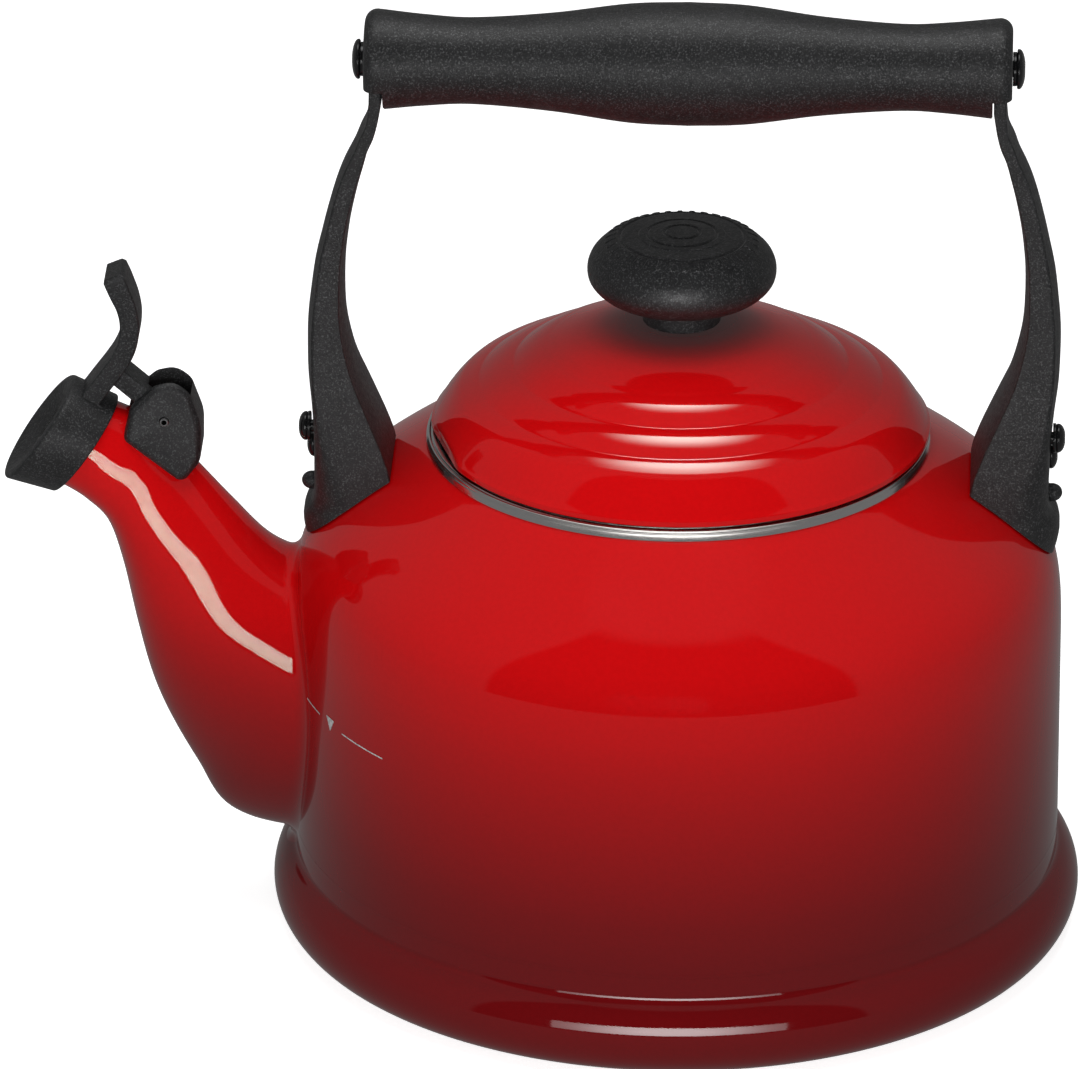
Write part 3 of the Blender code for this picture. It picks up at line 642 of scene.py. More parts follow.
LID_DOME = [(9.3, 155.2), (16.0, 154.4), (24.0, 152.2), (31.0, 149.6)]
# Steps in the lid: start radius and height, end radius and height, slope in degrees at start and end
LID_STEPS = [
    (31.6, 149.3, 40.0, 144.6, 18.0, 37.0),
    (40.2, 144.5, 48.3, 140.3, 17.0, 35.0),
    (48.5, 140.2, 52.6, 138.3, 18.0, 29.0),
]
LID_WALL = [(52.6, 138.3), (57.0, 133.9), (59.3, 129.8)]
NOTCH_ANGLE = math.radians(196.0)
NOTCH_CHORD = 58.2
NOTCH_TOP = 132.5


def notch_edge(verts):
    """Presses one flat into the lid's edge, fading out above the lip."""
    out = []
    for x, y, z in verts:
        along = (x - LID_X) * math.cos(NOTCH_ANGLE) + y * math.sin(NOTCH_ANGLE)
        share = min(max((NOTCH_TOP - z) / (NOTCH_TOP - 129.6), 0.0), 1.0)
        over = max(along - NOTCH_CHORD, 0.0) * share * share * (3 - 2 * share)
        out.append((x - over * math.cos(NOTCH_ANGLE), y - over * math.sin(NOTCH_ANGLE), z))
    return out


def lid_outline():
    """The lid's upper surface from the knob to its lip: a dome, three rounded steps and a steep wall."""
    outline = list(smooth_rows(LID_DOME, 8))
    for r0, z0, r1, z1, start, end in LID_STEPS:
        pull = (r1 - r0) * 0.36
        near = (r0 + pull, z0 - pull * math.tan(math.radians(start)))
        far = (r1 - pull, z1 + pull * math.tan(math.radians(end)))
        outline += list(bezier((r0, z0), near, far, (r1, z1), 18))
    wall = bezier(LID_WALL[0], (54.4, 137.3), LID_WALL[1], LID_WALL[-1], 16)
    edge = [(59.3, 129.8, 0), (59.9, 129.2, 0.5), (59.9, 127.9, 0.4), (59.3, 127.5, 0.3), (58.7, 127.9, 0)]
    lip = rounded(edge, 4)
    return np.vstack([outline, wall[1:], lip[1:]])


def make_lid():
    outside = lid_outline()
    inner = offset_outline(outside[:-12], -1.2)[::-1]
    hole = 3.0
    profile = [(hole, 155.4), *outside, (58.4, 129.2), *inner, (hole, 154.0)]
    lid = turned("lid_enamel", profile, ENAMEL, centre=(LID_X, 0.0), steps=288)
    moved = notch_edge([tuple(v.co / MM) for v in lid.data.vertices])
    for vertex, point in zip(lid.data.vertices, moved):
        vertex.co = Vector(point) * MM
    place(lid, "lid", "red_enamel", "lid_shell")


def make_knob():
    """Turned knob: ring grooves in its top, and a circle of short raised bars round its shoulder."""
    top = KNOB_TOP
    groove = 0.38

    def crown(r):
        return top - 0.0105 * r * r * 0.55

    corners = [(0.01, top)]
    for radius in (4.2, 8.3, 14.9):
        corners += [
            (radius - 0.55, crown(radius - 0.55)), (radius - 0.12, crown(radius) - groove),
            (radius + 0.12, crown(radius) - groove), (radius + 0.55, crown(radius + 0.55)),
        ]
        if radius == 8.3:
            corners += [(10.2, crown(10.2)), (10.5, crown(10.4) - 0.3)]
    side = smooth_rows(
        [(15.6, crown(15.5)), (16.8, top - 1.9), (18.2, top - 2.7), (19.9, top - 4.0), (21.7, top - 6.1),
         (KNOB_R, top - 8.9),
         (22.1, top - 12.0), (19.6, top - 14.7), (15.6, top - 16.6), (11.6, top - 17.5)], 6,
    )
    low = top - 22.7
    neck = rounded([(11.6, top - 17.5, 0), (9.5, top - 17.9, 1.0), (9.3, low, 0.3), (0.01, low, 0)], 5)
    profile = np.vstack([corners, side, neck[1:]])
    sides, bars = 360, 36
    angles = np.arange(sides) * 2 * math.pi / sides
    rings = []
    for r, z in profile:
        ring = []
        for a in angles:
            phase = (a * bars / (2 * math.pi)) % 1.0
            on = 1.0 if 0.15 < phase < 0.55 else 0.0
            band = 1.0 if 15.9 < r < 18.4 and z > top - 6 else 0.0
            lift = 0.24 * on * band
            reach = r + 0.6 * lift
            ring.append((LID_X + 0.1 + reach * math.cos(a), reach * math.sin(a), z + 0.8 * lift))
        rings.append(ring)
    knob = skin("knob_turned", rings, PHENOLIC, sharp=28.0)
    for obj in (knob, frame["nodes"]["knob_screw"], frame["nodes"]["knob_washer"]):
        obj.visible_glossy = False
    place(knob, "lid", "black_phenolic", "knob")


# ---------------------------------------------------------------- handle

GRIP_AXIS = (GRIP_LOW[2] + 29.4 / 2, (GRIP_LOW[0] + GRIP_HIGH[0]) / 2)
GRIP_Z, GRIP_X = GRIP_AXIS
GRIP_HALF = (GRIP_HIGH[0] - GRIP_LOW[0]) / 2
GRIP_RADII = [
    (0.0, 14.7), (14.0, 14.15), (32.0, 11.75), (50.5, 10.35), (62.0, 10.85), (GRIP_HALF - 3.0, 12.05),
]
FOOT_X, FOOT_Z = 0.9, 115.0
TAB_TOP = 227.0
GRIP_SKIRT = 217.0  # lower edge of the grip's ends, beside the arms

# Arm rows: height, inner face, outer face, half depth, crowns of the inner and outer faces, roundings
ARM_ROWS = [
    (TAB_TOP, 72.4, 75.4, 6.2, 0.0, 0.0, 0.4, 0.5),
    (212.0, 72.6, 75.6, 6.2, 0.0, 0.0, 0.4, 0.5),
    (209.0, 73.1, 75.9, 6.2, 0.1, 0.1, 0.4, 0.5),
    (206.3, 73.6, 76.3, 6.2, 0.1, 0.2, 0.4, 0.5),
    (203.0, 74.5, 77.8, 6.3, 0.2, 0.3, 0.4, 0.5),
    (199.7, 75.9, 79.0, 6.4, 0.3, 0.5, 0.4, 0.6),
    (195.0, 77.3, 81.2, 6.6, 0.5, 0.6, 0.4, 0.6),
    (190.0, 78.7, 82.9, 6.8, 0.6, 0.7, 0.4, 0.6),
    (183.0, 80.3, 84.7, 7.2, 0.7, 0.8, 0.5, 0.7),
    (177.0, 81.3, 86.0, 7.5, 0.8, 0.9, 0.5, 0.8),
    (170.6, 82.0, 87.3, 8.0, 0.9, 1.0, 0.5, 0.8),
    (163.0, 82.2, 88.2, 8.9, 1.0, 1.1, 0.5, 0.9),
    (156.0, 81.9, 88.8, 9.6, 1.1, 1.2, 0.5, 0.9),
    (149.0, 80.7, 88.9, 10.4, 1.2, 1.2, 0.5, 1.0),
    (142.0, 78.7, 88.7, 11.3, 1.1, 1.2, 0.5, 1.0),
    (135.5, 76.0, 88.2, 12.2, 0.9, 1.0, 0.5, 1.4),
    (130.0, 73.7, 88.0, 12.8, 0.7, 0.7, 0.5, 2.4),
    (124.5, 71.5, 88.0, 13.4, 0.4, 0.4, 0.5, 4.2),
    (119.0, 69.7, 88.1, 13.9, 0.2, 0.2, 0.5, 6.6),
    (113.0, 68.9, 88.2, 14.2, 0.0, 0.0, 0.5, 8.8),
    (109.3, 68.6, 88.9, 14.3, 0.0, 0.0, 0.5, 10.2),
    (107.2, 68.4, 90.4, 14.4, 0.0, 0.0, 0.5, 11.4),
    (104.6, 68.3, 91.0, 14.4, 0.0, 0.0, 0.5, 12.2),
    (101.0, 68.2, 90.6, 14.4, 0.0, 0.0, 0.5, 12.8),
    (96.0, 68.0, 89.2, 14.2, 0.0, 0.0, 0.5, 12.8),
    (90.0, 68.0, 87.6, 14.0, 0.0, 0.0, 0.5, 12.4),
]
FOOT_POCKET = [(86.0, 88.0), (86.0, 134.0), (80.0, 134.0), (71.6, 119.0), (71.6, 88.0)]
FOOT_FACE = 88.1


def handle_centre(height):
    """The handle's middle plane leans from the feet to the grip."""
    share = (height - FOOT_Z) / (GRIP_Z - FOOT_Z)
    return FOOT_X + (GRIP_X - FOOT_X) * min(max(share, 0.0), 1.0)


def make_grip():
    radii = smooth_rows(GRIP_RADII, 8)
    corner = arc((GRIP_HALF - 3.0, GRIP_RADII[-1][1] - 3.0), 3.0, 90.0, 0.0, 9)
    half = [*radii[:-1], *corner, (GRIP_HALF, 6.0), (GRIP_HALF, 0.01)]
    profile = [(r, u) for u, r in half[::-1]] + [(r, -u) for u, r in half[1:]]
    grip = turned(
        "grip_turned", profile, PHENOLIC, False, 128, axis_matrix((GRIP_X, 0, GRIP_Z), "+X"), sharp=50.0
    )
    cutters = []
    for side in (-1, 1):
        high = TAB_TOP + 0.3
        slot = rounded([(72.0, 196.0, 0), (75.8, 196.0, 0), (75.8, high, 0), (72.0, high, 0)])
        notch = rounded(
            [(72.2, 196.0, 0), (90.0, 196.0, 0), (90.0, GRIP_SKIRT, 0), (72.2, GRIP_SKIRT, 0)]
        )
        for outline, depth in ((slot, 6.6), (notch, 22.0)):
            shaped = [(GRIP_X + side * u, z) for u, z in outline]
            cutters.append(plate("grip_cutter", shaped, -depth, depth))
    join_or_cut(grip, cutters, "DIFFERENCE")
    place(grip, "vessel", "black_phenolic", "handle_grip")


def arm_ring(row, side):
    height, inner, outer, depth, crown_in, crown_out, round_in, round_out = row
    reach = min(round_out, depth - 0.3)
    thin = outer - inner
    squash = min(1.0, (thin - round_in - 0.8) / reach)
    points = []
    flat = np.linspace(1.0, -1.0, 13)
    for t in flat:
        points.append((inner - crown_in * (1 - t * t), t * (depth - round_in)))
    near = []
    for angle in np.radians(np.linspace(0.0, 90.0, 6))[1:]:
        across = inner + round_in * (1 - math.cos(angle))
        near.append((across, -(depth - round_in) - round_in * math.sin(angle)))
    edge = outer - reach * squash
    for share in (0.3, 0.6, 0.85):
        near.append((inner + round_in + (edge - inner - round_in) * share, -depth))
    for angle in np.radians(np.linspace(90.0, 0.0, 10)):
        across = outer - reach * squash * (1 - math.cos(angle))
        near.append((across, -(depth - reach) - reach * math.sin(angle)))
    points += near
    for t in flat[::-1][1:-1]:
        points.append((outer + crown_out * (1 - t * t), t * (depth - reach)))
    points += [(u, -y) for u, y in near[::-1]]
    centre = handle_centre(height)
    return [(centre + side * u, y, height) for u, y in points]


def body_envelope(gap):
    outline = offset_outline(shoulder_outline(), gap)
    return turned("body_envelope", [(0.01, 130.0), (56.0, 130.0), *outline, (0.01, 20.8)], None, False)


def make_arm(side, label):
    rows = np.vstack([ARM_ROWS[:1], smooth_rows(ARM_ROWS[1:], 3)])
    arm = skin(f"arm_moulded_{label}", [arm_ring(row, side) for row in rows], PHENOLIC, sharp=40.0)
    pocket = plate("foot_pocket", [(FOOT_X + side * u, z) for u, z in FOOT_POCKET], -9.0, 9.0)
    join_or_cut(arm, [pocket, body_envelope(0.42)], "DIFFERENCE", 40.0)
    place(arm, "vessel", "black_phenolic", f"arm_{label}")


def make_button(name, point, direction, radius, height, shank, nodes, washer=0.0, washer_radius=0.0):
    """A glossy button-head screw with a hexagon socket, and a washer under it where it has one."""
    base = washer
    rim = 0.45
    dome = [
        (radius * math.cos(a) ** 0.9, base + rim + (height - rim) * math.sin(a))
        for a in np.radians(np.linspace(0.0, 82.0, 12))
    ]
    edge = [(radius - 0.25, base), (radius, base + 0.25)]
    profile = [(0.01, -4.0), (shank, -4.0), (shank, base), *edge, *dome]
    profile.append((0.01, base + height))
    matrix = axis_matrix(point, direction)
    screw = turned(name, profile, GLOSS_BLACK, False, 48, matrix, sharp=45.0)
    socket = rod("socket", radius * 0.36, base + height - 1.2, base + height + 2.0, matrix, steps=6)
    join_or_cut(screw, [socket], "DIFFERENCE", 45.0)
    place(screw, "vessel", "black_screw", *nodes[:1])
    if washer:
        flat = rounded(
            [
                (shank + 0.1, 0, 0.1), (washer_radius, 0, 0.15),
                (washer_radius, washer, 0.25), (shank + 0.1, washer, 0.1),
            ],
            4, closed=True,
        )
        ring = turned(f"{name}_washer", flat, GLOSS_BLACK, True, 48, matrix, sharp=50.0)
        place(ring, "vessel", "black_screw", nodes[1])


def make_fasteners(side, label):
    direction = "+X" if side > 0 else "-X"
    face = FOOT_X + side * FOOT_FACE
    make_button(
        f"foot_button_upper_{label}", (face + side * 0.9, -2.5, 127.3), direction, 3.5, 2.2, 1.5,
        (f"foot_screw_upper_{label}", f"foot_washer_{label}"), 0.8, 3.6,
    )
    make_button(
        f"foot_button_lower_{label}", (face + side * 0.1, 2.5, 120.9), direction, 3.5, 2.1, 1.5,
        (f"foot_screw_lower_{label}",),
    )
    stud = [(0.01, -4.0), (2.2, -4.0), *arc((0.0, 1.0), (2.2, 2.4), 0.0, 89.7, 12)]
    stud = turned(
        f"foot_stud_domed_{label}", stud, PHENOLIC, False, 40,
        axis_matrix((face, 0, 112.0), direction), sharp=50.0,
    )
    place(stud, "vessel", "black_phenolic", f"foot_stud_{label}")
    make_button(
        f"grip_button_{label}", (GRIP_X + side * (GRIP_HALF + 0.05), 0, GRIP_Z), direction, 4.8, 2.0, 1.9,
        (f"grip_screw_{label}", f"grip_washer_{label}"), 1.0, 4.1,
    )


# ---------------------------------------------------------------- whistle

CAP_REAR = np.array((-142.6, 120.7))
CAP_FRONT = np.array((-154.2, 125.1))
CAP_LENGTH = float(np.linalg.norm(CAP_FRONT - CAP_REAR))
CAP_REAR_R, CAP_FRONT_R, CAP_TILT = 13.9, 14.9, 35.5
LEVER_PATH = [
    (-135.3, 166.2), (-133.4, 161.6), (-131.95, 157.7), (-131.3, 153.5), (-131.85, 148.8), (-133.4, 144.9),
    (-135.7, 141.3), (-138.7, 137.2), (-142.6, 131.8),
]
LEVER_DEEP, LEVER_THICK = 5.5, 4.7
BAR_START = np.array((-134.2, 139.6))
HOUSING = [
    (-133.1, 125.2, 1.6), (-131.4, 132.6, 3.0), (-125.6, 138.0, 4.0), (-121.0, 139.3, 5.0),
    (-117.2, 136.6, 4.5),
    (-114.3, 128.0, 12.0), (-114.5, 119.2, 5.0), (-118.8, 114.0, 2.0),
]


def cap_ring(distance, radius, count=96):
    """A ring of the cap, a distance forward of its rear edge along its slanted axis."""
    centre = CAP_REAR + (CAP_FRONT - CAP_REAR) * distance / CAP_LENGTH
    return section(centre, radius, radius, CAP_TILT, count)


def make_cap():
    front = CAP_LENGTH
    corners = [
        (0.0, 13.0, 0.25), (0.0, CAP_REAR_R, 0.55), (front - 0.4, CAP_FRONT_R, 0.9), (front, 12.9, 0.5),
        (front - 2.6, 7.3, 0.5), (front - 2.9, 6.75, 0.2), (4.6, 6.75, 0.2), (4.6, 12.7, 0.5),
    ]
    outline = rounded(corners, 6, closed=True)
    cap = skin("cap_moulded", [cap_ring(d, r) for d, r in outline], PHENOLIC, wrap=True, sharp=40.0)
    place(cap, "whistle", "black_phenolic", "whistle_cap")
    for label, start in (("inner", 5.2), ("outer", 8.8)):
        corners = [(start, 1.2, 0.1), (start, 6.6, 0.15), (start + 0.5, 6.6, 0.15), (start + 0.9, 1.2, 0.1)]
        rings = [cap_ring(d, r, 64) for d, r in rounded(corners, 3, closed=True)]
        disc = skin(f"whistle_plate_{label}", rings, STAINLESS, wrap=True, sharp=40.0)
        place(disc, "whistle", "stainless", f"whistle_disc_{label}")


def strap_ring(centre, across, half_thick, half_deep, corner, count=5):
    """A rounded rectangle about a point of the XZ plane: thick along across, deep along Y."""
    outline = rounded(
        [(-half_thick, -half_deep, corner), (half_thick, -half_deep, corner),
         (half_thick, half_deep, corner),
         (-half_thick, half_deep, corner)], count, closed=True,
    )
    return [(centre[0] + u * across[0], y, centre[1] + u * across[1]) for u, y in outline]


def make_lever():
    path = smooth_rows(LEVER_PATH, 6)
    along = np.gradient(path, axis=0)
    along /= np.linalg.norm(along, axis=1)[:, None]
    across = np.stack([-along[:, 1], along[:, 0]], axis=1)
    travel = np.concatenate([[0.0], np.cumsum(np.linalg.norm(np.diff(path, axis=0), axis=1))])
    rings = []
    for point, side, s in zip(path, across, travel):
        swell = 0.3 * math.exp(-((s - 3.0) / 5.0) ** 2)
        tip = math.sqrt(max(0.0, 1.0 - max(0.0, 1.0 - s / 0.8) ** 2))
        deep = LEVER_DEEP * (1.0 - 0.10 * (1.0 - tip)) + 0.25 * swell
        thick = (LEVER_THICK / 2 + swell) * (0.82 + 0.18 * tip)
        rings.append(strap_ring(point, side, thick, deep, 0.55))
    lever = skin("lever_moulded", rings, PHENOLIC, sharp=45.0)
    hub = np.array((PIVOT[0], PIVOT[2]))
    run = (hub - BAR_START) / np.linalg.norm(hub - BAR_START)
    side = np.array((-run[1], run[0]))
    bar = [strap_ring(BAR_START + run * t, side, 2.3, 4.35, 0.45) for t in (0.0, 3.0, 7.2)]
    neck = [
        [(x, y * 0.5 - 2.1, z) for x, y, z in strap_ring(BAR_START + run * t, side, 2.2, 4.1, 0.4)]
        for t in (4.0, 8.0, 13.0)
    ]
    matrix = axis_matrix((PIVOT[0], 0, PIVOT[2]), "+Y")
    others = [
        skin("bar", bar, None),
        skin("bar_neck", neck, None),
        rod("bar_hub", 3.2, -4.2, -0.15, matrix),
    ]
    join_or_cut(lever, others, "UNION", 45.0)
    join_or_cut(lever, [rod("hub_hole", 1.15, -12.0, 12.0, matrix)], "DIFFERENCE", 45.0)
    place(lever, "whistle", "black_phenolic", "whistle_lever")


def make_housing():
    outline = rounded(HOUSING, 7, closed=True)
    low, high = np.array(HOUSING[0][:2]), np.array(HOUSING[-1][:2])
    along = (high - low) / np.linalg.norm(high - low)
    upward = np.array((-along[1], along[0]))
    rises = (outline - low) @ upward
    share = np.clip(rises / rises.max(), 0.0, 1.0)
    halves = 9.6 - 3.4 * share**0.8
    rings = []
    pad = 2.1
    for turn in np.radians(np.linspace(0.0, 90.0, 7)):
        rings.append(shrunk(outline, pad * (1 - math.sin(turn)), -halves + pad * (1 - math.cos(turn))))
    rings += [
        shrunk(outline, pad * (1 - math.sin(turn)), halves - pad * (1 - math.cos(turn)))
        for turn in np.radians(np.linspace(90.0, 0.0, 7))
    ]
    housing = skin("housing_moulded", rings, PHENOLIC, sharp=50.0)
    slot = rounded([(-145, 108, 0), (-145, 150, 0), (-116.9, 150, 0), (-116.9, 108, 2.0)], 4, closed=True)
    matrix = axis_matrix((PIVOT[0], 0, PIVOT[2]), "+Y")
    spout = skin("spout_envelope", spout_rings(0.25, 64, 6), None)
    cutters = [plate("slot", slot, -4.7, 4.7), rod("pin_hole", 1.2, -15.0, 15.0, matrix), spout]
    join_or_cut(housing, cutters, "DIFFERENCE", 50.0)
    place(housing, "vessel", "black_phenolic", "whistle_housing")


def shrunk(outline, inset, depths):
    """The outline drawn in towards its middle by a distance, at a depth for each point."""
    middle = outline.mean(axis=0)
    spread = outline - middle
    reach = np.linalg.norm(spread, axis=1)
    drawn = middle + spread * ((reach - inset) / reach)[:, None]
    return [(x, y, z) for (x, z), y in zip(drawn, depths)]


def pin_material():
    """Spring steel, with painted shade: black and not metallic inside its bore."""
    n = Nodes(bpy.data.materials.new("pin_steel"))
    axes = n.add("ShaderNodeSeparateXYZ", Vector=n.place).outputs
    across = n.math("POWER", n.math("SUBTRACT", axes["X"], PIVOT[0] * MM), 2.0)
    up = n.math("POWER", n.math("SUBTRACT", axes["Z"], PIVOT[2] * MM), 2.0)
    reach = n.math("DIVIDE", n.math("SQRT", n.math("ADD", across, up)), 1.2 * MM, clamp=True)
    # painted shade: the steel is black within the bore, where shade falls
    outside = n.ramp(reach, [(0.56, 0.0), (0.66, 1.0)])
    worn = n.ramp(n.noise(900.0, 3.0), [(0.3, 0.45), (0.7, 0.70)])
    colour = n.mix(outside, (0.004, 0.004, 0.004), worn)
    roughness = n.ramp(n.noise(700.0, 2.0), [(0.3, 0.20), (0.7, 0.34)])
    return n.set(Base_Color=colour, Metallic=outside, Roughness=roughness)


def make_pin():
    half = PIN_HIGH[1]
    corners = [(0.6, half, 0.1), (1.05, half, 0.2), (1.05, -half, 0.2), (0.6, -half, 0.1)]
    pin = turned(
        "pin_tubular", rounded(corners, 4, closed=True), pin_material(), True, 40,
        axis_matrix((PIVOT[0], 0, PIVOT[2]), "+Y"), sharp=50.0,
    )
    place(pin, "vessel", "stainless", "pivot_pin")


# ---------------------------------------------------------------- studio

KETTLE_MIDDLE = (0.0, 0.0, 0.10)
FLOOR_SIZE = 7.0
AMBIENT_FRONT, AMBIENT_BACK = 0.20, 0.16  # light on matt surfaces from the viewer's side and from behind
ROOM_GLOW, PANEL_GLOW, CEILING_GLOW = 0.19, 0.03, 0.20  # what the gloss reflects
FLOOR_GLOW, FLOOR_SEEN_GLOW = 0.20, 0.75  # what falls on the kettle, and what the camera sees
CAMERA_LENS = 415.0
CAMERA_PLACE, CAMERA_TARGET = (81.45, -2735.61, 1328.33), (-33.15, -1.39, 99.14)  # mm


def make_world():
    """An even bright room for matt surfaces; gloss sees it darker, with a dark panel behind the viewer."""
    world = bpy.data.worlds.new("studio")
    bpy.context.scene.world = world
    world.use_nodes = True
    n = Nodes(world)
    background = world.node_tree.nodes["Background"]
    direction = n.add("ShaderNodeTexCoord").outputs["Generated"]
    axes = n.add("ShaderNodeSeparateXYZ", Vector=direction).outputs
    forward = n.math("MULTIPLY", axes["Y"], -1.0)
    rays = n.add("ShaderNodeLightPath").outputs

    def smooth(value, low, high, out_low, out_high):
        node = n.add("ShaderNodeMapRange", {"interpolation_type": "SMOOTHSTEP"}, Value=value)
        limits = (("From Min", low), ("From Max", high), ("To Min", out_low), ("To Max", out_high))
        for name, number in limits:
            node.inputs[name].default_value = number
        return node.outputs["Result"]

    matt = smooth(forward, -0.6, 0.7, AMBIENT_BACK, AMBIENT_FRONT)
    sideways = n.math("SUBTRACT", n.math("MULTIPLY", forward, 1.48), n.math("ABSOLUTE", axes["X"]))
    beside, above = smooth(sideways, -0.02, 0.06, 0.0, 1.0), smooth(axes["Z"], 0.93, 0.97, 1.0, 0.0)
    panel = n.math("MULTIPLY", beside, above)
    room = smooth(forward, 0.05, -0.35, ROOM_GLOW, CEILING_GLOW)
    extra, high = n.math("SUBTRACT", room, ROOM_GLOW), smooth(axes["Z"], 0.2, 0.5, 0.0, 1.0)
    room = n.math("ADD", n.math("MULTIPLY", extra, high), ROOM_GLOW)
    gloss = n.math("ADD", n.math("MULTIPLY", n.math("SUBTRACT", PANEL_GLOW, room), panel), room)
    seen = n.math("MAXIMUM", rays["Is Camera Ray"], matt)
    chosen = n.add("ShaderNodeMix", {"data_type": "FLOAT"}, Factor=rays["Is Glossy Ray"])
    n.feed(chosen.inputs[2], seen)
    n.feed(chosen.inputs[3], gloss)
    n.feed(background.inputs["Strength"], chosen.outputs[0])
    background.inputs["Color"].default_value = (1.0, 1.0, 1.0, 1.0)


def make_floor():
    """White paper that glows a little, so that it stays pale close to the kettle."""
    bm = bmesh.new()
    bmesh.ops.create_grid(bm, x_segments=8, y_segments=8, size=FLOOR_SIZE)
    mesh = bpy.data.meshes.new("floor")
    bm.to_mesh(mesh)
    bm.free()
    floor = bpy.data.objects.new("floor", mesh)
    bpy.context.scene.collection.objects.link(floor)
    n = Nodes(bpy.data.materials.new("floor_paper"))
    rays = n.add("ShaderNodeLightPath").outputs
    n.set(Base_Color=(0.9, 0.9, 0.9, 1.0), Roughness=0.9, Specular_IOR_Level=0.0)
    n.set(Emission_Color=(1.0, 1.0, 1.0, 1.0), Emission_Strength=FLOOR_SEEN_GLOW)
    dim = n.add("ShaderNodeEmission", Color=(1.0, 1.0, 1.0, 1.0), Strength=FLOOR_GLOW)
    mix = n.add("ShaderNodeMixShader", Fac=rays["Is Camera Ray"])
    n.tree.links.new(dim.outputs[0], mix.inputs[1])
    n.tree.links.new(n.shader.outputs[0], mix.inputs[2])
    n.tree.links.new(mix.outputs[0], n.tree.nodes["Material Output"].inputs["Surface"])
    mesh.materials.append(n.owner)


def soft_box(name, position, size, strength, tint, falloff, fade, seen_by):
    """A clear card whose glow only the gloss of some pieces mirrors, fading out from its middle."""
    half_wide, half_high = size[0] / 2, size[1] / 2
    mesh = bpy.data.meshes.new(name)
    signs = ((-1, -1), (1, -1), (1, 1), (-1, 1))
    corners = [(half_wide * right, half_high * up, 0) for right, up in signs]
    mesh.from_pydata(corners, [], [(0, 1, 2, 3)])
    card = bpy.data.objects.new(name, mesh)
    bpy.context.scene.collection.objects.link(card)
    card.location = position
    card.rotation_euler = (Vector(KETTLE_MIDDLE) - Vector(position)).to_track_quat("Z", "Y").to_euler()
    n = Nodes(bpy.data.materials.new(name))
    axes = n.add("ShaderNodeSeparateXYZ", Vector=n.place).outputs
    across = n.math("POWER", n.math("DIVIDE", axes["X"], falloff[0]), 2.0)
    along = n.math("POWER", n.math("DIVIDE", axes["Y"], falloff[1]), 2.0)
    distance = n.math("SQRT", n.math("ADD", across, along))
    level = n.add("ShaderNodeMapRange", {"interpolation_type": "SMOOTHSTEP"}, Value=distance)
    limits = (("From Min", 0.1), ("From Max", 1.0), ("To Min", strength), ("To Max", strength * fade))
    for key, value in limits:
        level.inputs[key].default_value = value
    glow = n.add("ShaderNodeEmission", Color=(*tint, 1.0), Strength=level.outputs["Result"])
    clear = n.add("ShaderNodeBsdfTransparent")
    both = n.add("ShaderNodeAddShader")
    n.tree.links.new(glow.outputs[0], both.inputs[0])
    n.tree.links.new(clear.outputs[0], both.inputs[1])
    n.tree.links.new(both.outputs[0], n.tree.nodes["Material Output"].inputs["Surface"])
    mesh.materials.append(n.owner)
    for ray in ("camera", "diffuse", "transmission", "shadow"):
        setattr(card, f"visible_{ray}", False)
    seeing = bpy.data.collections.new(f"seen_in_{name}")
    for piece_name in seen_by:
        seeing.objects.link(bpy.data.objects[piece_name])
    card.light_linking.receiver_collection = seeing


def matt_light(name, azimuth, elevation, distance, size, power):
    """A large soft light that the gloss doesn't mirror."""
    turn, rise = math.radians(azimuth), math.radians(elevation)
    data = bpy.data.lights.new(name, "AREA")
    data.shape = "RECTANGLE"
    data.size, data.size_y = size
    data.energy = power
    lamp = bpy.data.objects.new(name, data)
    bpy.context.scene.collection.objects.link(lamp)
    away = Vector((math.sin(turn) * math.cos(rise), -math.cos(turn) * math.cos(rise), math.sin(rise)))
    lamp.location = Vector(KETTLE_MIDDLE) + away * distance
    lamp.rotation_euler = away.to_track_quat("Z", "Y").to_euler()
    lamp.visible_glossy = False


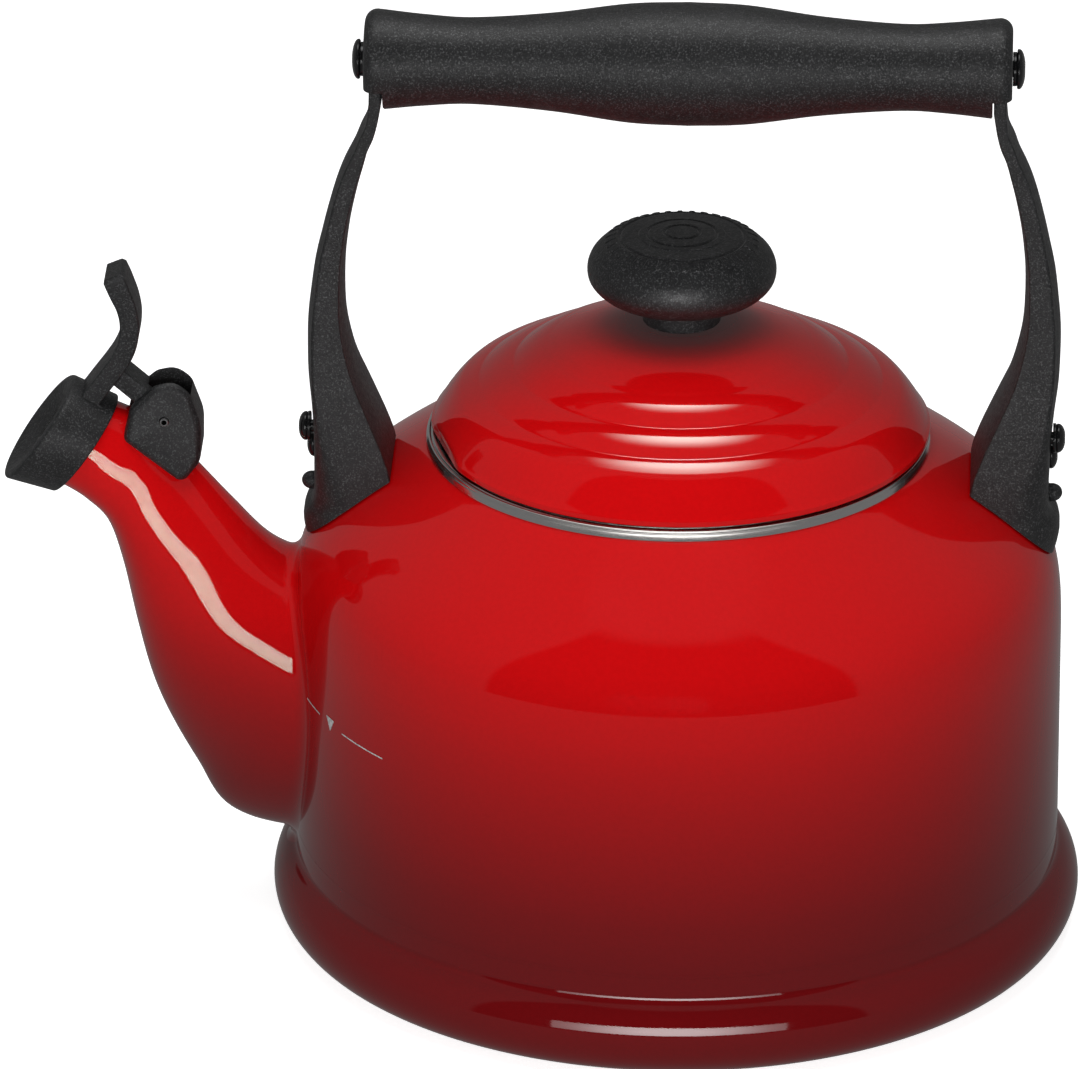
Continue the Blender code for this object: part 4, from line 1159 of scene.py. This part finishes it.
def make_studio():
    make_world()
    make_floor()
    matt_light("key", -3.0, 11.0, 2.2, (1.0, 0.7), 33.5)
    matt_light("top", 0.0, 88.0, 1.8, (1.1, 1.1), 17.0)
    moulded = [obj.name for obj in bpy.data.objects if PHENOLIC.name in obj.material_slots]
    polished = [obj.name for obj in bpy.data.objects if STAINLESS.name in obj.material_slots]
    screws = [obj.name for obj in bpy.data.objects if GLOSS_BLACK.name in obj.material_slots]
    white, steely = (1.0, 1.0, 1.0), (1.0, 0.98, 0.95)
    green, pale_green = (0.62, 1.0, 0.83), (0.75, 1.0, 0.92)
    others = [name for name in [*moulded, *screws] if name != "knob_turned"]
    front, over = (0.0, -1.0, 0.25), (0.0, 0.10, 1.20)
    soft_box("spout_box", (0.0, -1.0, 0.27), (1.35, 0.29), 10.5, green, (1.0, 1.0), 0.8, ["spout_enamel"])
    soft_box("base_box", (0.0, -1.0, 0.235), (1.21, 0.35), 9.8, white, (0.6, 0.6), 0.25, ["base_enamel"])
    lid = (0.0, 0.28, 1.20)
    soft_box("lid_box", lid, (1.00, 0.50), 15.0, pale_green, (0.40, 0.29), 0.0, ["lid_enamel"])
    soft_box("front_box", front, (1.35, 0.40), 3.6, white, (0.7, 0.5), 0.6, others)
    soft_box("over_box", over, (1.20, 0.70), 3.2, white, (0.7, 0.4), 0.2, others)
    soft_box("knob_box", front, (0.90, 0.46), 10.0, white, (0.45, 0.5), 0.0, ["knob_turned"])
    soft_box("steel_box", (0.0, -0.80, 0.012), (2.2, 1.3), 3.6, steely, (0.6, 0.9), 0.12, polished)
    soft_box("steel_top", (0.0, -0.10, 1.20), (1.6, 1.6), 3.0, steely, (0.7, 0.8), 0.1, polished)
    bpy.context.scene.view_settings.view_transform = "Standard"


def make_camera():
    data = bpy.data.cameras.new("camera")
    data.lens = CAMERA_LENS
    data.sensor_width = 36.0
    data.clip_end = 50.0
    camera = bpy.data.objects.new("camera", data)
    bpy.context.scene.collection.objects.link(camera)
    position = Vector(CAMERA_PLACE) * MM
    target = Vector(CAMERA_TARGET) * MM
    camera.location = position
    camera.rotation_euler = (target - position).to_track_quat("-Z", "Y").to_euler()
    bpy.context.scene.camera = camera


def main():
    dress_frame()
    make_body()
    make_spout()
    make_base()
    make_rim_ring()
    make_fill_mark()
    make_lid()
    make_knob()
    make_grip()
    for side, label in ((-1, "left"), (1, "right")):
        make_arm(side, label)
        make_fasteners(side, label)
    make_cap()
    make_lever()
    make_housing()
    make_pin()
    make_studio()
    make_camera()


main()
